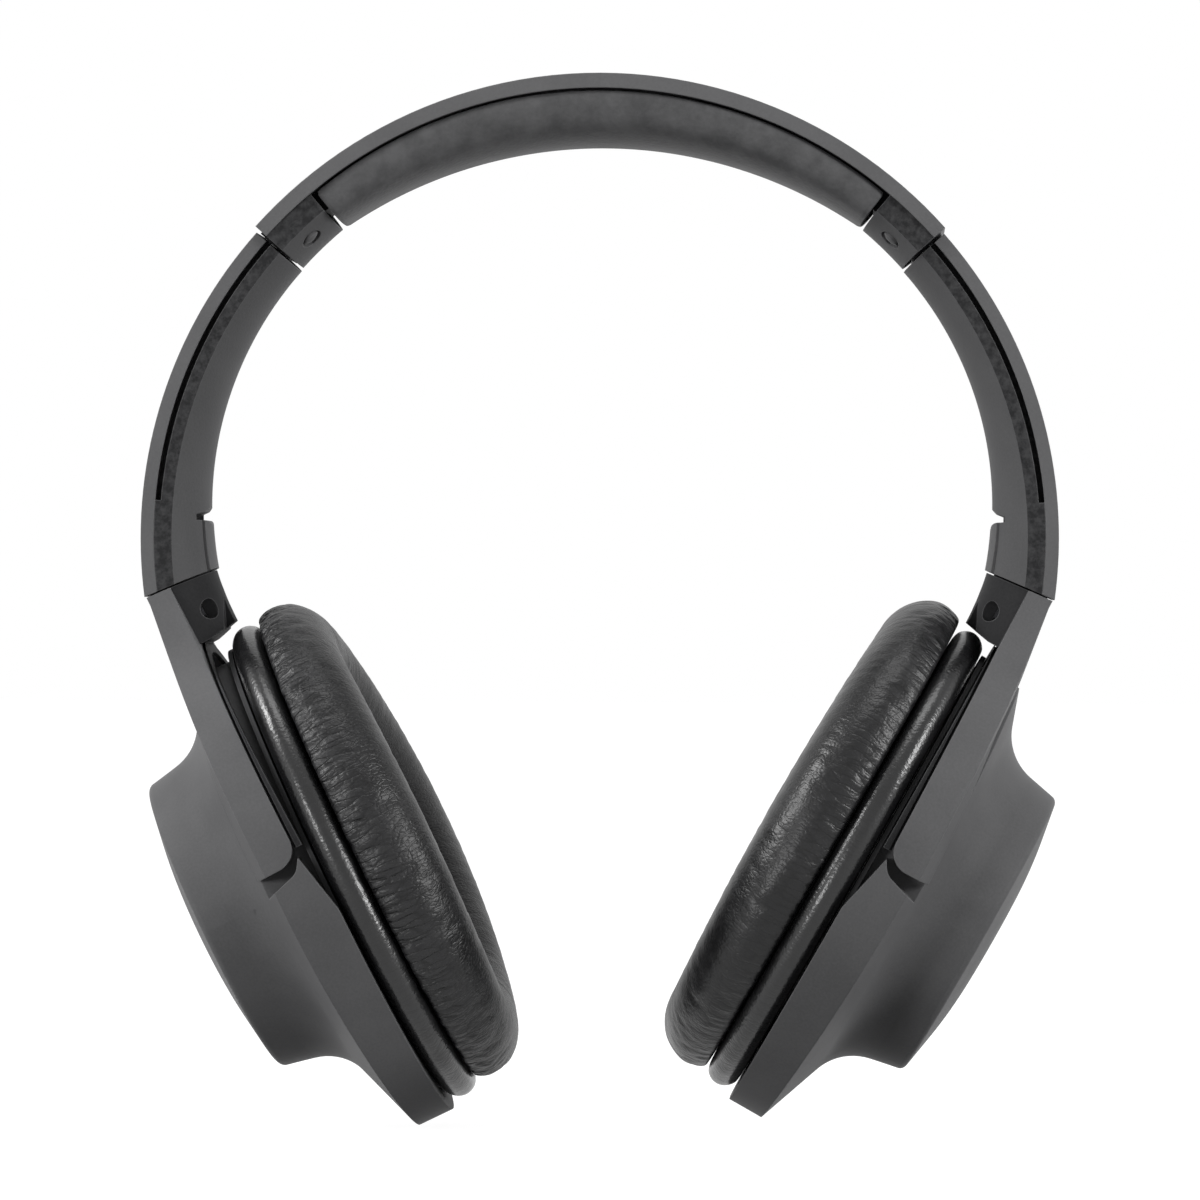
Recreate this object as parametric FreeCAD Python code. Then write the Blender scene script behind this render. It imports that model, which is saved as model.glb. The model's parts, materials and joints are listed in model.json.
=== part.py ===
"""Over-ear headphones, built as an assembly of separate pieces.

Frame: millimetres, +Z up, +X to the wearer's left, the wearer faces -Y.
The origin is where the headband's pad rests on the crown of the head.
The right half is modelled, and the left half is its mirror image.
"""
import FreeCAD, Part
import math
import os

from FreeCAD import Placement, Rotation, Vector

# ---- Headband: arcs about one centre, angles counted from the crown ----
BAND_RADIUS = 82.0            # outside of the cover
BAND_COVER_THICKNESS = 2.6
BAND_HALF_WIDTH = 15.5        # at the crown
BAND_END_HALF_WIDTH = 13.5    # at the end caps
BAND_END_ANGLE = 48.0         # where cover and end cap stop
CAP_START_ANGLE = 40.2
CAP_DEPTH = 10.1              # from the outside of the cover to the crest of the cap's inner face
CAP_SIDE_DEPTH = 6.4          # flat side, before the inner face starts to curve
FRAME_DEPTH = 3.8             # inner frame below the cover
FRAME_HALF_WIDTH = 10.3
FRAME_END_ANGLE = 46.8
PAD_END_ANGLE = 39.75
PAD_CREST_DEPTH = 12.5        # from the outside of the cover to the underside, at the crown
PAD_END_DEPTH = 10.1
PAD_SIDE_DEPTH = 5.5          # flat side of the pad, before its underside starts to curve
SOFT_GAP = 0.25               # between a soft piece and its seat
MOVING_GAP = 0.3              # between pieces that move past each other

# ---- Spring band: one steel strip that carries both arms ----
STRIP_INSET = 3.8             # from the outside of the cover to the strip's inner face
STRIP_RADIUS = BAND_RADIUS - STRIP_INSET
STRIP_THICKNESS = 0.5
STRIP_HALF_WIDTH = 8.0
STRIP_END_ANGLE = 81.5
DETENT_COUNT = 8
DETENT_PITCH = 2.0            # degrees
DETENT_RADIUS = 0.7

CAP_SCREW_OFFSET = 9.3
TONGUE_DEPTHS = (0.4, 7.2)    # below the outside of the arm, of the tongue that closes the gap to it
TONGUE_INSET = 3.0            # of the tongue from the arm's sides
CAP_SCREW_HEAD = 1.6
CAP_SCREW_HOLE = 1.95
CAP_SCREW_RECESS = 0.15       # of the head's edge below the cap's face, at its centre
CAP_SCREW_DOME = 3.0          # radius of the head's dome

# ---- Sliding arms ----
ARM_INSET = 0.8               # from the outside of the cover to the outside of the arm
ARM_RADIUS = BAND_RADIUS - ARM_INSET
ARM_HALF_WIDTH = 12.5
ARM_START_ANGLE = 48.5
ARM_COVER_THICKNESS = 2.3
ARM_SIDE_DEPTH = 5.5          # flat side, before the inner face starts to curve
ARM_TOP_DEPTH = 9.5           # from the outside to the crest of the inner face, at the end cap
ARM_BOTTOM_DEPTH = 12.7       # the same at the swivel
SLOT_HEIGHT = 1.0             # channel in which the strip runs
SLOT_END_ANGLE = 85.3
RAIL_THICKNESS = 1.0
RAIL_CLEARANCE = 0.3          # between a rail and the edge of the strip
TAB_START_ANGLE = 87.6
TAB_HALF_WIDTH = 6.0
TAB_THICKNESS = 2.2
TAB_CLEARANCE = 0.25
TAB_ROUND = 1.0               # of the tab's upper edge
NOTCH_LIP = (2.6, 1.5, 0.4)   # heights above the tab of a nail notch's lip, its bend and its foot
NOTCH_DEPTHS = (1.0, 3.6)     # of that bend and foot, below the arm's crest
NOTCH_HALF_WIDTH = 8.0
TAB_PROUD = 0.2               # how far the tab's crest stands above the arm's
TAB_EDGE = 1.0                # depth of the tab's sides below that crest
TAB_BED = 0.6                 # the tab reaches this far below its own thickness at the swivel
ARM_SCREW_ANGLE = 90.0
ARM_END_MARGIN = 8.0          # degrees past the swivel, before the parting plane trims the arm

# ---- Swivel: the yoke turns below the arm ----
SWIVEL_INSET = 6.0            # from the outside of the arm to the swivel's centre
SWIVEL_RADIUS = ARM_RADIUS - SWIVEL_INSET
SWIVEL_ANGLE = 96.3
SWIVEL_TILT = 23.5            # of the swivel's axis from vertical
SWIVEL_GAP = 0.3
SWIVEL_PIN_RADIUS = 2.5
SWIVEL_PIN_ABOVE = 5.8
SWIVEL_PIN_BELOW = 8.0
SWIVEL_FLANGE_RADIUS = 4.2
SWIVEL_FLANGE_THICKNESS = 1.2
SWIVEL_STEP_RADIUS = 5.2      # round step on the yoke that closes the gap to the arm
SWIVEL_STEP_HEIGHT = 0.9
SWIVEL_END_PLAY = 0.2         # of the pin's flange in its chamber, along the pin
RUNNING_CLEARANCE = 0.05

# ---- Ear cup: depth N inwards to the head, Y to the back, T up the cup ----
CUP_TILT = 28.0               # of the cup's long axis from vertical
CUP_HALF_HEIGHT = 47.6
CUP_HALF_WIDTH = 41.0
NECK_HEIGHT = 10.1            # from the top of the rim's oval to the swivel
NECK_DEPTH = -1.2             # depth at which the swivel's axis meets the parting plane
NECK_SPARE = 4.0              # neck modelled above the swivel, before the parting plane trims it
SHOULDER_DROP = 0.0           # from the swivel to where the neck starts to widen
CUP_DEPTH = 26.6              # from the rim's plane to the crest of the outer face
FACE_CROWN = 2.4
FACE_RADIUS = 27.6
FACE_EDGE_RADIUS = 1.3
FACE_CENTRE_RADIUS = 150.0    # of the outer face's nearly flat middle
FLARE_WAIST_DEPTH = 12.8
FLARE_WAIST_RADIUS = 29.9
FLARE_ROUND = 10.0
FLARE_RIM_DEPTH = 6.5         # depth of the flare where it reaches the lower rim
HOUSING_WALL = 2.0
SOCKET_FLAT = 0.4             # flat across the lowest point of the rim

# ---- Yoke: a fork that wraps the upper half of the cup ----
YOKE_INNER_DEPTH = -2.6
YOKE_OUTER_DEPTH = -9.3
YOKE_NECK_DEPTH = -7.2
YOKE_BEVEL = 1.8
YOKE_THICKNESS = 4.4
YOKE_TOP_THICKNESS = 3.3
YOKE_TIP = 4.0                # height of the fork's tips above the cup's centre
YOKE_TIP_RADIUS = 4.0
COVER_CREST = 6.4             # depth of the inner cover's crest, above the swivel
COVER_WAIST = (4.7, 4.8)      # depth of the crest, and how far below the swivel it bends
COVER_FOOT = (4.4, 10.4)      # the same where the crest ends
COVER_SIDE_FOOT = (2.1, 10.9) # the same where the cover's sides end, beside the middle rib
COVER_HEEL = (-0.9, 11.5)     # the same where the underside bends towards the fork
COVER_RIB_HALF_WIDTH = 2.6
LINER_STEP = 0.6              # of the liner along the fork's arms, from the fork's outline
LINER_GROOVE = (0.5, 1.6)     # width and depth of the groove between fork and liner
LINER_WALL = 0.5              # between the liner and the outline of the baffle's flange
LINER_DEPTH = (-1.0, -2.1)    # the liner's inner face, at the tips and at the top of the fork
LINER_END = 6.2               # height of the liner's ends above the cup's centre
YOKE_SCREW_OFFSET = 8.6
YOKE_SCREW_DROP = 6.6         # below the swivel's centre
SCREW_HOLE_RADIUS = 1.85
SCREW_HEAD_RADIUS = 1.7
YOKE_SCREW_SEAT = 2.0         # height of the screws' heads above the fork's inner face
YOKE_SCREW_COVER = 3.0        # plastic left between the screws' tips and the fork's outer face
CUP_GAP = 0.4                 # between yoke and housing, at the sides
CUP_TOP_GAP = 2.7             # the same at the top, where the tilting cup needs more
RIM_CORNER = 4.6              # height of the rim's ends, inside the fork's tips
RIM_BEND = (-4.0, 2.3, 3.0)   # depth, height and rounding where a rim's end bends out below the tip
RIM_SLOPE = (-12.0, -0.2)     # depth and height where that slanting end leaves the housing
RIM_FULL_HEIGHT = -6.5        # height at which the rim reaches its full depth

SHANK_RADIUS = 0.9
HEAD_THICKNESS = 1.2
NECK_HOLLOW = 1.6             # how far the fork's shoulders curve in, between neck and oval

# ---- Tilt pivots ----
PIVOT_HEIGHT = 8.0
PIVOT_DEPTH = -5.6
PIVOT_RADIUS = 2.0
PIVOT_SOCKET = 2.6            # blind hole in the fork
PIVOT_LENGTH = 5.6

# ---- How the cups hang at rest: the top leans in by this many degrees, or out below zero ----
RIGHT_REST_TILT = 2.2
LEFT_REST_TILT = -1.5

# ---- Baffle and driver ----
FLANGE_THICKNESS = 0.8
FLANGE_HALF_WIDTH = 38.2
FLANGE_HALF_HEIGHT = 43.4
PLUG_DEPTH = 1.6              # part of the baffle that reaches into the housing
PLUG_CLEARANCE = 0.15
DRIVER_RADIUS = 20.0
DRIVER_FLANGE_THICKNESS = 1.4
DRIVER_FLANGE_WIDTH = 3.0
BASKET_DEPTH = 4.0
BASKET_WALL = 1.2
MAGNET_RADIUS = 12.0
MAGNET_THICKNESS = 4.0
DIAPHRAGM_THICKNESS = 0.3
DIAPHRAGM_RADIUS = 19.5
DIAPHRAGM_DOME = 1.2          # rise of the dome
DOME_RADIUS = 15.5
BAFFLE_SCREW_Y = 21.5
BAFFLE_SCREW_T = 25.5
BAFFLE_SCREW_LENGTH = 5.0
BOSS_RADIUS = 2.6

# ---- Cushion ----
BASE_HALF_WIDTH = 40.3
BASE_HALF_HEIGHT = 45.6
BASE_THICKNESS = 5.7
BASE_EDGE_RADIUS = 2.5
BASE_OPENING_ROUND = 1.0
CUSHION_HALF_WIDTH = 41.0
CUSHION_HALF_HEIGHT = 46.3
CUSHION_THICKNESS = 13.6      # at the middle of its height
CUSHION_BOW_RADIUS = 330.0    # of the face, which bows back towards the ends
CUSHION_EDGE_RADIUS = 4.9
CUSHION_OPENING_ROUND = 4.0
EAR_HALF_WIDTH = 20.5
EAR_HALF_HEIGHT = 28.5
CLOTH_THICKNESS = 0.6

# ---- Cable socket, in the left cup ----
SOCKET_DEPTH = -3.7
SOCKET_RADIUS = 2.55
SOCKET_BORE_RADIUS = 1.8
SOCKET_LENGTH = 14.0
SOCKET_END_WALL = 1.2
BOARD_THICKNESS = 1.2
BOARD_LENGTH = 14.0
BOARD_HALF_WIDTH = 8.0
BOARD_MARGIN = 2.0            # between the board and the lowest point of the housing's hollow

Y_AXIS = Vector(0, 1, 0)
INWARDS = Vector(1, 0, 0)      # in a cup's own frame, towards the head
OUTWARDS = Vector(-1, 0, 0)
FAR = 200.0                   # longer than anything that a cutting block has to pass through


# ---- Drawing helpers ----
def line(start, end):
    return Part.LineSegment(start, end).toShape()


def arc(start, middle, end):
    return Part.Arc(start, middle, end).toShape()


def face_of(edges):
    return Part.Face(Part.Wire(edges))


def rounded_face(corners, place):
    """Face bounded by straight runs and tangent arcs; a corner is (u, v) or (u, v, radius)."""
    edges, pen, first = [], None, None
    for index, corner in enumerate(corners):
        here = Vector(corner[0], corner[1], 0)
        radius = corner[2] if len(corner) > 2 else 0
        before = Vector(*corners[index - 1][:2], 0) - here
        after = Vector(*corners[(index + 1) % len(corners)][:2], 0) - here
        half = before.getAngle(after) / 2
        reach = min(radius / math.tan(half), 0.48 * before.Length, 0.48 * after.Length)
        before.normalize()
        after.normalize()
        enter, leave = here + before * reach, here + after * reach
        if pen is not None:
            edges.append(line(place(pen), place(enter)))
        if radius:
            bisector = (before + after).normalize()
            radius = reach * math.tan(half)
            middle = here + bisector * (radius / math.sin(half) - radius)
            edges.append(arc(place(enter), place(middle), place(leave)))
        pen = leave
        first = first or enter
    edges.append(line(place(pen), place(first)))
    return face_of(edges)


def in_depth_plane(point):
    """A drawing of depth N and height T, in the plane Y = 0 of a cup."""
    return Vector(point.x, 0, point.y)


def block_across(corners):
    """Block whose outline is drawn in depth and height, reaching through the cup's width."""
    face = rounded_face(corners, in_depth_plane)
    face.translate(Vector(0, -FAR / 2, 0))
    return face.extrude(Vector(0, FAR, 0))


def turned(corners):
    """Ring or disc turned about a cup's axis, from corners (depth, radius)."""
    return rounded_face(corners, in_depth_plane).revolve(Vector(0, 0, 0), Vector(1, 0, 0), 360)


def oval_block(half_width, half_height, near, far):
    """Elliptical block between two depths of a cup."""
    centre = Vector(near, 0, 0)
    reaches = [Vector(0, 0, half_height), Vector(0, half_width, 0)]
    reaches.sort(key=lambda reach: -reach.Length)
    rim = Part.Ellipse(centre + reaches[0], centre + reaches[1], centre)
    return face_of([rim.toShape()]).extrude(Vector(far - near, 0, 0))


def oval_ring(outer, inner, near, far):
    return oval_block(*outer, near, far).cut(oval_block(*inner, near - 1, far + 1))


def round_edges(shape, radius, wanted):
    edges = [edge for edge in shape.Edges if wanted(edge)]
    return shape.makeFillet(radius, edges)


# ---- Band geometry, in the plane of the arcs ----
def polar(radius, angle, y=0.0):
    """Point at an angle from the crown towards the wearer's right."""
    turn = math.radians(angle)
    return Vector(-radius * math.sin(turn), y, radius * math.cos(turn))


def band_arc(radius, start, end, y):
    return arc(polar(radius, start, y), polar(radius, (start + end) / 2, y), polar(radius, end, y))


def sector(inner, outer, start, end, half_width, other_side=None):
    """Curved bar between two radii and two angles, from one side of the band to the other."""
    low = -half_width if other_side is None else half_width
    high = half_width if other_side is None else other_side
    edges = [
        band_arc(outer, start, end, low),
        line(polar(outer, end, low), polar(inner, end, low)),
        band_arc(inner, end, start, low),
        line(polar(inner, start, low), polar(outer, start, low)),
    ]
    return face_of(edges).extrude(Vector(0, high - low, 0))


def crowned_section(angle, outer, side, crest, half_width):
    """Section of band or arm: flat outside and sides, inner face one arc that crests inwards."""
    corner = [polar(outer, angle, -half_width), polar(outer, angle, half_width)]
    foot = [polar(side, angle, -half_width), polar(side, angle, half_width)]
    return Part.Wire([
        line(corner[0], corner[1]),
        line(corner[1], foot[1]),
        arc(foot[1], polar(crest, angle), foot[0]),
        line(foot[0], corner[0]),
    ])


def band_plan():
    """Outline of the headband from above: widest at the crown, narrower at the ends."""
    reach = BAND_RADIUS * math.sin(math.radians(BAND_END_ANGLE)) + 1
    sides = []
    for sign in (-1, 1):
        start = Vector(-sign * reach, sign * BAND_END_HALF_WIDTH, 0)
        end = Vector(sign * reach, sign * BAND_END_HALF_WIDTH, 0)
        sides.append((start, Vector(0, sign * BAND_HALF_WIDTH, 0), end))
    edges = [
        arc(*sides[0]),
        line(sides[0][2], sides[1][0]),
        arc(*sides[1]),
        line(sides[1][2], sides[0][0]),
    ]
    return face_of(edges).extrude(Vector(0, 0, FAR))


def swivel_point():
    return polar(SWIVEL_RADIUS, SWIVEL_ANGLE)


def swivel_axis():
    turn = math.radians(SWIVEL_TILT)
    return Vector(-math.sin(turn), 0, math.cos(turn))


def along_swivel(distance):
    return swivel_point() + swivel_axis() * distance


def swivel_cylinder(radius, start, end):
    return Part.makeCylinder(radius, end - start, along_swivel(start), swivel_axis())


def half_space_below(distance):
    """Everything below the swivel's parting plane, moved up by a distance."""
    block = Part.makeBox(FAR, FAR, FAR, Vector(-FAR / 2, -FAR / 2, -FAR))
    return block.transformed(Placement(along_swivel(distance), Rotation(Y_AXIS, -SWIVEL_TILT)).toMatrix())


def below_swivel():
    """Space for the yoke's pieces: below the gap, and in the round step that reaches into the arm."""
    step = swivel_cylinder(SWIVEL_STEP_RADIUS, -1 - SWIVEL_GAP, SWIVEL_STEP_HEIGHT)
    return from_cup(half_space_below(-SWIVEL_GAP).fuse(step))


def above_swivel(arm):
    """The arm's piece without what lies below the parting plane, hollowed for the yoke's step."""
    room = swivel_cylinder(SWIVEL_STEP_RADIUS + MOVING_GAP, -1, SWIVEL_STEP_HEIGHT + MOVING_GAP)
    return arm.cut(half_space_below(0)).cut(room)


def cup_placement():
    """From a cup's own frame (N, Y, T) to the headphones' frame, for the wearer's right."""
    turn = Rotation(Y_AXIS, -CUP_TILT)
    seat = Vector(NECK_DEPTH, 0, CUP_HALF_HEIGHT + NECK_HEIGHT)
    return Placement(swivel_point() - turn.multVec(seat), turn)


def to_cup(shape):
    return shape.transformed(cup_placement().toMatrix())


def at_rest(shape, tilt):
    """A piece of the cup, turned about its tilt pivots to how the cup hangs."""
    return shape.rotated(Vector(PIVOT_DEPTH, 0, PIVOT_HEIGHT), Y_AXIS, tilt)


def from_cup(shape):
    return shape.transformed(cup_placement().inverse().toMatrix())


# ---- Headband ----
def circle_depth(crest, end_radius, end_angle, angle):
    """Radius at an angle of the circle that runs through a crest on the middle line and an end."""
    x, z = end_radius * math.sin(math.radians(end_angle)), end_radius * math.cos(math.radians(end_angle))
    centre = (x * x + z * z - crest * crest) / (2 * (z - crest))
    turn = math.radians(angle)
    return centre * math.cos(turn) + math.sqrt((crest - centre) ** 2 - (centre * math.sin(turn)) ** 2)


def band_half_width(angle):
    share = math.sin(math.radians(angle)) / math.sin(math.radians(BAND_END_ANGLE))
    return BAND_HALF_WIDTH - (BAND_HALF_WIDTH - BAND_END_HALF_WIDTH) * share * share


def headband_cover():
    inner = BAND_RADIUS - BAND_COVER_THICKNESS
    blank = sector(inner, BAND_RADIUS, -BAND_END_ANGLE, BAND_END_ANGLE, FAR / 4)
    return blank.common(band_plan())


def headband_frame():
    top = BAND_RADIUS - BAND_COVER_THICKNESS
    blank = sector(top - FRAME_DEPTH, top, -FRAME_END_ANGLE, FRAME_END_ANGLE, FRAME_HALF_WIDTH)
    channel = STRIP_HALF_WIDTH + RAIL_CLEARANCE
    blank = blank.cut(sector(STRIP_RADIUS, top + 1, -BAND_END_ANGLE, BAND_END_ANGLE, channel))
    for screw in cap_screw_places():
        blank = blank.cut(radial_cylinder(SHANK_RADIUS, screw, top - FRAME_DEPTH - 1, cap_screw_tip()))
    return blank


def spring_band():
    top = STRIP_RADIUS + STRIP_THICKNESS
    strip = sector(STRIP_RADIUS, top, -STRIP_END_ANGLE, STRIP_END_ANGLE, STRIP_HALF_WIDTH)
    for sign in (-1, 1):
        for index in range(DETENT_COUNT):
            angle = sign * (STRIP_END_ANGLE - (index + 1) * DETENT_PITCH)
            strip = strip.cut(radial_cylinder(DETENT_RADIUS, (angle, 0), STRIP_RADIUS - 1, top + 1))
    return strip


def headband_pad():
    outer = BAND_RADIUS - BAND_COVER_THICKNESS - SOFT_GAP
    side = outer - PAD_SIDE_DEPTH
    crest, end = BAND_RADIUS - PAD_CREST_DEPTH, BAND_RADIUS - PAD_END_DEPTH
    sections = []
    for step in range(-3, 4):
        angle = PAD_END_ANGLE * step / 3
        depth = circle_depth(crest, end, PAD_END_ANGLE, angle)
        width = band_half_width(angle) - SOFT_GAP
        sections.append(crowned_section(angle, outer, side, depth, width))
    pad = Part.makeLoft(sections, True)
    floor = BAND_RADIUS - BAND_COVER_THICKNESS - FRAME_DEPTH - SOFT_GAP
    pocket = sector(floor, outer + 1, -BAND_END_ANGLE, BAND_END_ANGLE, FRAME_HALF_WIDTH + SOFT_GAP)
    return pad.cut(pocket)


def radial_cylinder(radius, place, start, end):
    """Cylinder that points away from the centre of the arcs; place is (angle, y)."""
    angle, y = place
    return Part.makeCylinder(radius, end - start, polar(start, angle, y), polar(1, angle))


def cap_screw_places():
    middle = (CAP_START_ANGLE + BAND_END_ANGLE) / 2
    return [(side * middle, y) for side in (-1, 1) for y in (-CAP_SCREW_OFFSET, CAP_SCREW_OFFSET)]


def cap_screw_seat():
    """Radius at which the heads of the cap's screws end."""
    crest, side = BAND_RADIUS - CAP_DEPTH, BAND_RADIUS - CAP_SIDE_DEPTH
    rise = side - crest
    bend = (BAND_END_HALF_WIDTH ** 2 + rise ** 2) / (2 * rise)
    surface = crest + bend - math.sqrt(bend ** 2 - CAP_SCREW_OFFSET ** 2)
    return surface + CAP_SCREW_RECESS + HEAD_THICKNESS


def cap_screw_tip():
    return STRIP_RADIUS


def cap_screws(side):
    screws = []
    for angle, y in cap_screw_places():
        if angle * side > 0:
            seat = cap_screw_seat()
            head = radial_cylinder(CAP_SCREW_HEAD, (angle, y), seat - 2 * HEAD_THICKNESS, seat)
            rise = CAP_SCREW_DOME - math.sqrt(CAP_SCREW_DOME ** 2 - CAP_SCREW_HEAD ** 2)
            top = seat - HEAD_THICKNESS - rise
            head = head.common(Part.makeSphere(CAP_SCREW_DOME, polar(top + CAP_SCREW_DOME, angle, y)))
            screws.append(head.fuse(radial_cylinder(SHANK_RADIUS, (angle, y), seat, cap_screw_tip())))
    return Part.makeCompound(screws)


def end_cap():
    top = BAND_RADIUS - BAND_COVER_THICKNESS
    crest, side = BAND_RADIUS - CAP_DEPTH, BAND_RADIUS - CAP_SIDE_DEPTH
    angles = (CAP_START_ANGLE, (CAP_START_ANGLE + BAND_END_ANGLE) / 2, BAND_END_ANGLE)
    blank = Part.makeLoft(
        [crowned_section(angle, top + 2, side, crest, BAND_END_HALF_WIDTH) for angle in angles], True)
    cap = blank.common(sector(crest - 1, top, CAP_START_ANGLE, BAND_END_ANGLE, FAR / 4))
    start, end = CAP_START_ANGLE - 1, BAND_END_ANGLE + 1
    cap = cap.cut(sector(top - FRAME_DEPTH, top + 1, start, FRAME_END_ANGLE, FRAME_HALF_WIDTH))
    channel = STRIP_HALF_WIDTH + RAIL_CLEARANCE
    room = STRIP_RADIUS + STRIP_THICKNESS + RAIL_CLEARANCE
    cap = cap.cut(sector(STRIP_RADIUS - RAIL_CLEARANCE, room, FRAME_END_ANGLE - 1, end, channel))
    for angle, y in cap_screw_places():
        if angle > 0:
            cap = cap.cut(radial_cylinder(CAP_SCREW_HOLE, (angle, y), crest - 2, cap_screw_seat()))
            cap = cap.cut(radial_cylinder(SHANK_RADIUS, (angle, y), cap_screw_seat() - 1, top))
    return cap.fuse(cap_tongue()).removeSplitter()


def cap_tongue():
    """Low step on the end cap that closes the gap to the arm, open in the middle for the strip."""
    end = ARM_START_ANGLE - math.degrees(MOVING_GAP / ARM_RADIUS)
    high, low = (ARM_RADIUS - depth for depth in TONGUE_DEPTHS)
    top, width = BAND_RADIUS - BAND_COVER_THICKNESS, ARM_HALF_WIDTH - TONGUE_INSET
    step = sector(low, top, BAND_END_ANGLE - 1, end, width).fuse(
        sector(low, high, BAND_END_ANGLE, end, width))
    channel = STRIP_HALF_WIDTH + RAIL_CLEARANCE
    room = (STRIP_RADIUS - RAIL_CLEARANCE, STRIP_RADIUS + STRIP_THICKNESS + RAIL_CLEARANCE)
    return step.cut(sector(*room, BAND_END_ANGLE - 2, end + 1, channel))


# ---- Sliding arm ----
def arm_crest(angle):
    """Radius of the crest of the arm's inner face: the arm grows deeper towards the swivel."""
    share = (angle - ARM_START_ANGLE) / (SWIVEL_ANGLE - ARM_START_ANGLE)
    return ARM_RADIUS - ARM_TOP_DEPTH - (ARM_BOTTOM_DEPTH - ARM_TOP_DEPTH) * share * share


def arm_end_angle():
    return SWIVEL_ANGLE + ARM_END_MARGIN


def arm_outer_cover():
    inner = ARM_RADIUS - ARM_COVER_THICKNESS
    cover = sector(inner, ARM_RADIUS, ARM_START_ANGLE, arm_end_angle(), ARM_HALF_WIDTH)
    return above_swivel(cover).cut(swivel_pin()).cut(arm_screw())


def arm_inner_cover():
    split = ARM_RADIUS - ARM_COVER_THICKNESS
    side = ARM_RADIUS - ARM_SIDE_DEPTH
    steps = 5
    reach = arm_end_angle() - ARM_START_ANGLE
    sections = []
    for step in range(steps + 1):
        angle = ARM_START_ANGLE + reach * step / steps
        sections.append(crowned_section(angle, split + 2, side, arm_crest(angle), ARM_HALF_WIDTH))
    blank = Part.makeLoft(sections, True)
    blank = blank.common(sector(split / 2, split, ARM_START_ANGLE, arm_end_angle(), FAR / 4))
    blank = above_swivel(blank)
    floor = split - SLOT_HEIGHT
    rail = STRIP_HALF_WIDTH + RAIL_CLEARANCE
    sides = ((-FAR / 4, -rail - RAIL_THICKNESS), (-rail, rail), (rail + RAIL_THICKNESS, FAR / 4))
    for low, high in sides:
        blank = blank.cut(sector(floor, split + 1, ARM_START_ANGLE - 1, SLOT_END_ANGLE, low, high))
    pocket = tab_seat_radius()
    blank = blank.cut(sector(split / 2, pocket, TAB_START_ANGLE - TAB_CLEARANCE, arm_end_angle(),
                             TAB_HALF_WIDTH + TAB_CLEARANCE))
    return blank.cut(tab_notch()).cut(swivel_pin()).cut(arm_screw())


def tab_notch():
    """Hollow above the tab, where a nail lifts it: a slanting lip, then a deep narrow foot."""
    crest = arm_crest(TAB_START_ANGLE)
    lip, bend, foot = (TAB_START_ANGLE - math.degrees(rise / crest) for rise in NOTCH_LIP)
    shallow, deep = NOTCH_DEPTHS
    corners = [polar(crest - 1, lip), polar(crest, lip), polar(crest + shallow, bend),
               polar(crest + deep, foot), polar(crest + deep, TAB_START_ANGLE),
               polar(crest - 1, TAB_START_ANGLE)]
    wedge = face_of([line(corners[index - 1], corner) for index, corner in enumerate(corners)])
    wedge.translate(Vector(0, -NOTCH_HALF_WIDTH, 0))
    return wedge.extrude(Vector(0, 2 * NOTCH_HALF_WIDTH, 0))


def tab_seat_radius():
    return arm_crest(SWIVEL_ANGLE) + TAB_THICKNESS + TAB_BED


def arm_tab():
    """Cover plate over the arm's screw, a little proud of the inner face."""
    bed = tab_seat_radius()
    angles = [TAB_START_ANGLE + (arm_end_angle() - TAB_START_ANGLE) * step / 2 for step in range(3)]
    sections = []
    for angle in angles:
        crest = arm_crest(angle) - TAB_PROUD
        sections.append(crowned_section(angle, bed + 1, crest + TAB_EDGE, crest, TAB_HALF_WIDTH))
    blank = above_swivel(Part.makeLoft(sections, True))
    blank = blank.common(sector(bed / 2, bed, TAB_START_ANGLE, arm_end_angle(), TAB_HALF_WIDTH + 1))
    crest = arm_crest(TAB_START_ANGLE) - TAB_PROUD
    inside = TAB_START_ANGLE + math.degrees(TAB_ROUND / crest)
    corner = sector(crest - 1, crest + TAB_ROUND, TAB_START_ANGLE - 1, inside, TAB_HALF_WIDTH + 1)
    start = polar(crest + TAB_ROUND, inside, -FAR / 2)
    return blank.cut(corner.cut(Part.makeCylinder(TAB_ROUND, FAR, start, Y_AXIS)))


def arm_screw():
    seat = tab_seat_radius() + HEAD_THICKNESS
    head = radial_cylinder(CAP_SCREW_HEAD, (ARM_SCREW_ANGLE, 0), tab_seat_radius(), seat)
    tip = ARM_RADIUS - ARM_COVER_THICKNESS / 2
    return head.fuse(radial_cylinder(SHANK_RADIUS, (ARM_SCREW_ANGLE, 0), seat, tip))


def swivel_pin():
    pin = swivel_cylinder(SWIVEL_PIN_RADIUS, -SWIVEL_PIN_BELOW, SWIVEL_PIN_ABOVE)
    foot = SWIVEL_FLANGE_THICKNESS - SWIVEL_PIN_BELOW
    return pin.fuse(swivel_cylinder(SWIVEL_FLANGE_RADIUS, -SWIVEL_PIN_BELOW, foot)).removeSplitter()


def swivel_bearing():
    """Space that the swivel's pin turns in, taken out of the yoke and its inner cover."""
    foot = SWIVEL_FLANGE_THICKNESS - SWIVEL_PIN_BELOW
    bore = swivel_cylinder(SWIVEL_PIN_RADIUS + RUNNING_CLEARANCE, foot - 1, SWIVEL_STEP_HEIGHT + 1)
    chamber = swivel_cylinder(SWIVEL_FLANGE_RADIUS + 2 * RUNNING_CLEARANCE,
                              -SWIVEL_PIN_BELOW - SWIVEL_END_PLAY, foot + SWIVEL_END_PLAY)
    return from_cup(bore.fuse(chamber))


# ---- Yoke, in the cup's own frame ----
def neck_top():
    return CUP_HALF_HEIGHT + NECK_HEIGHT


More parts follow.
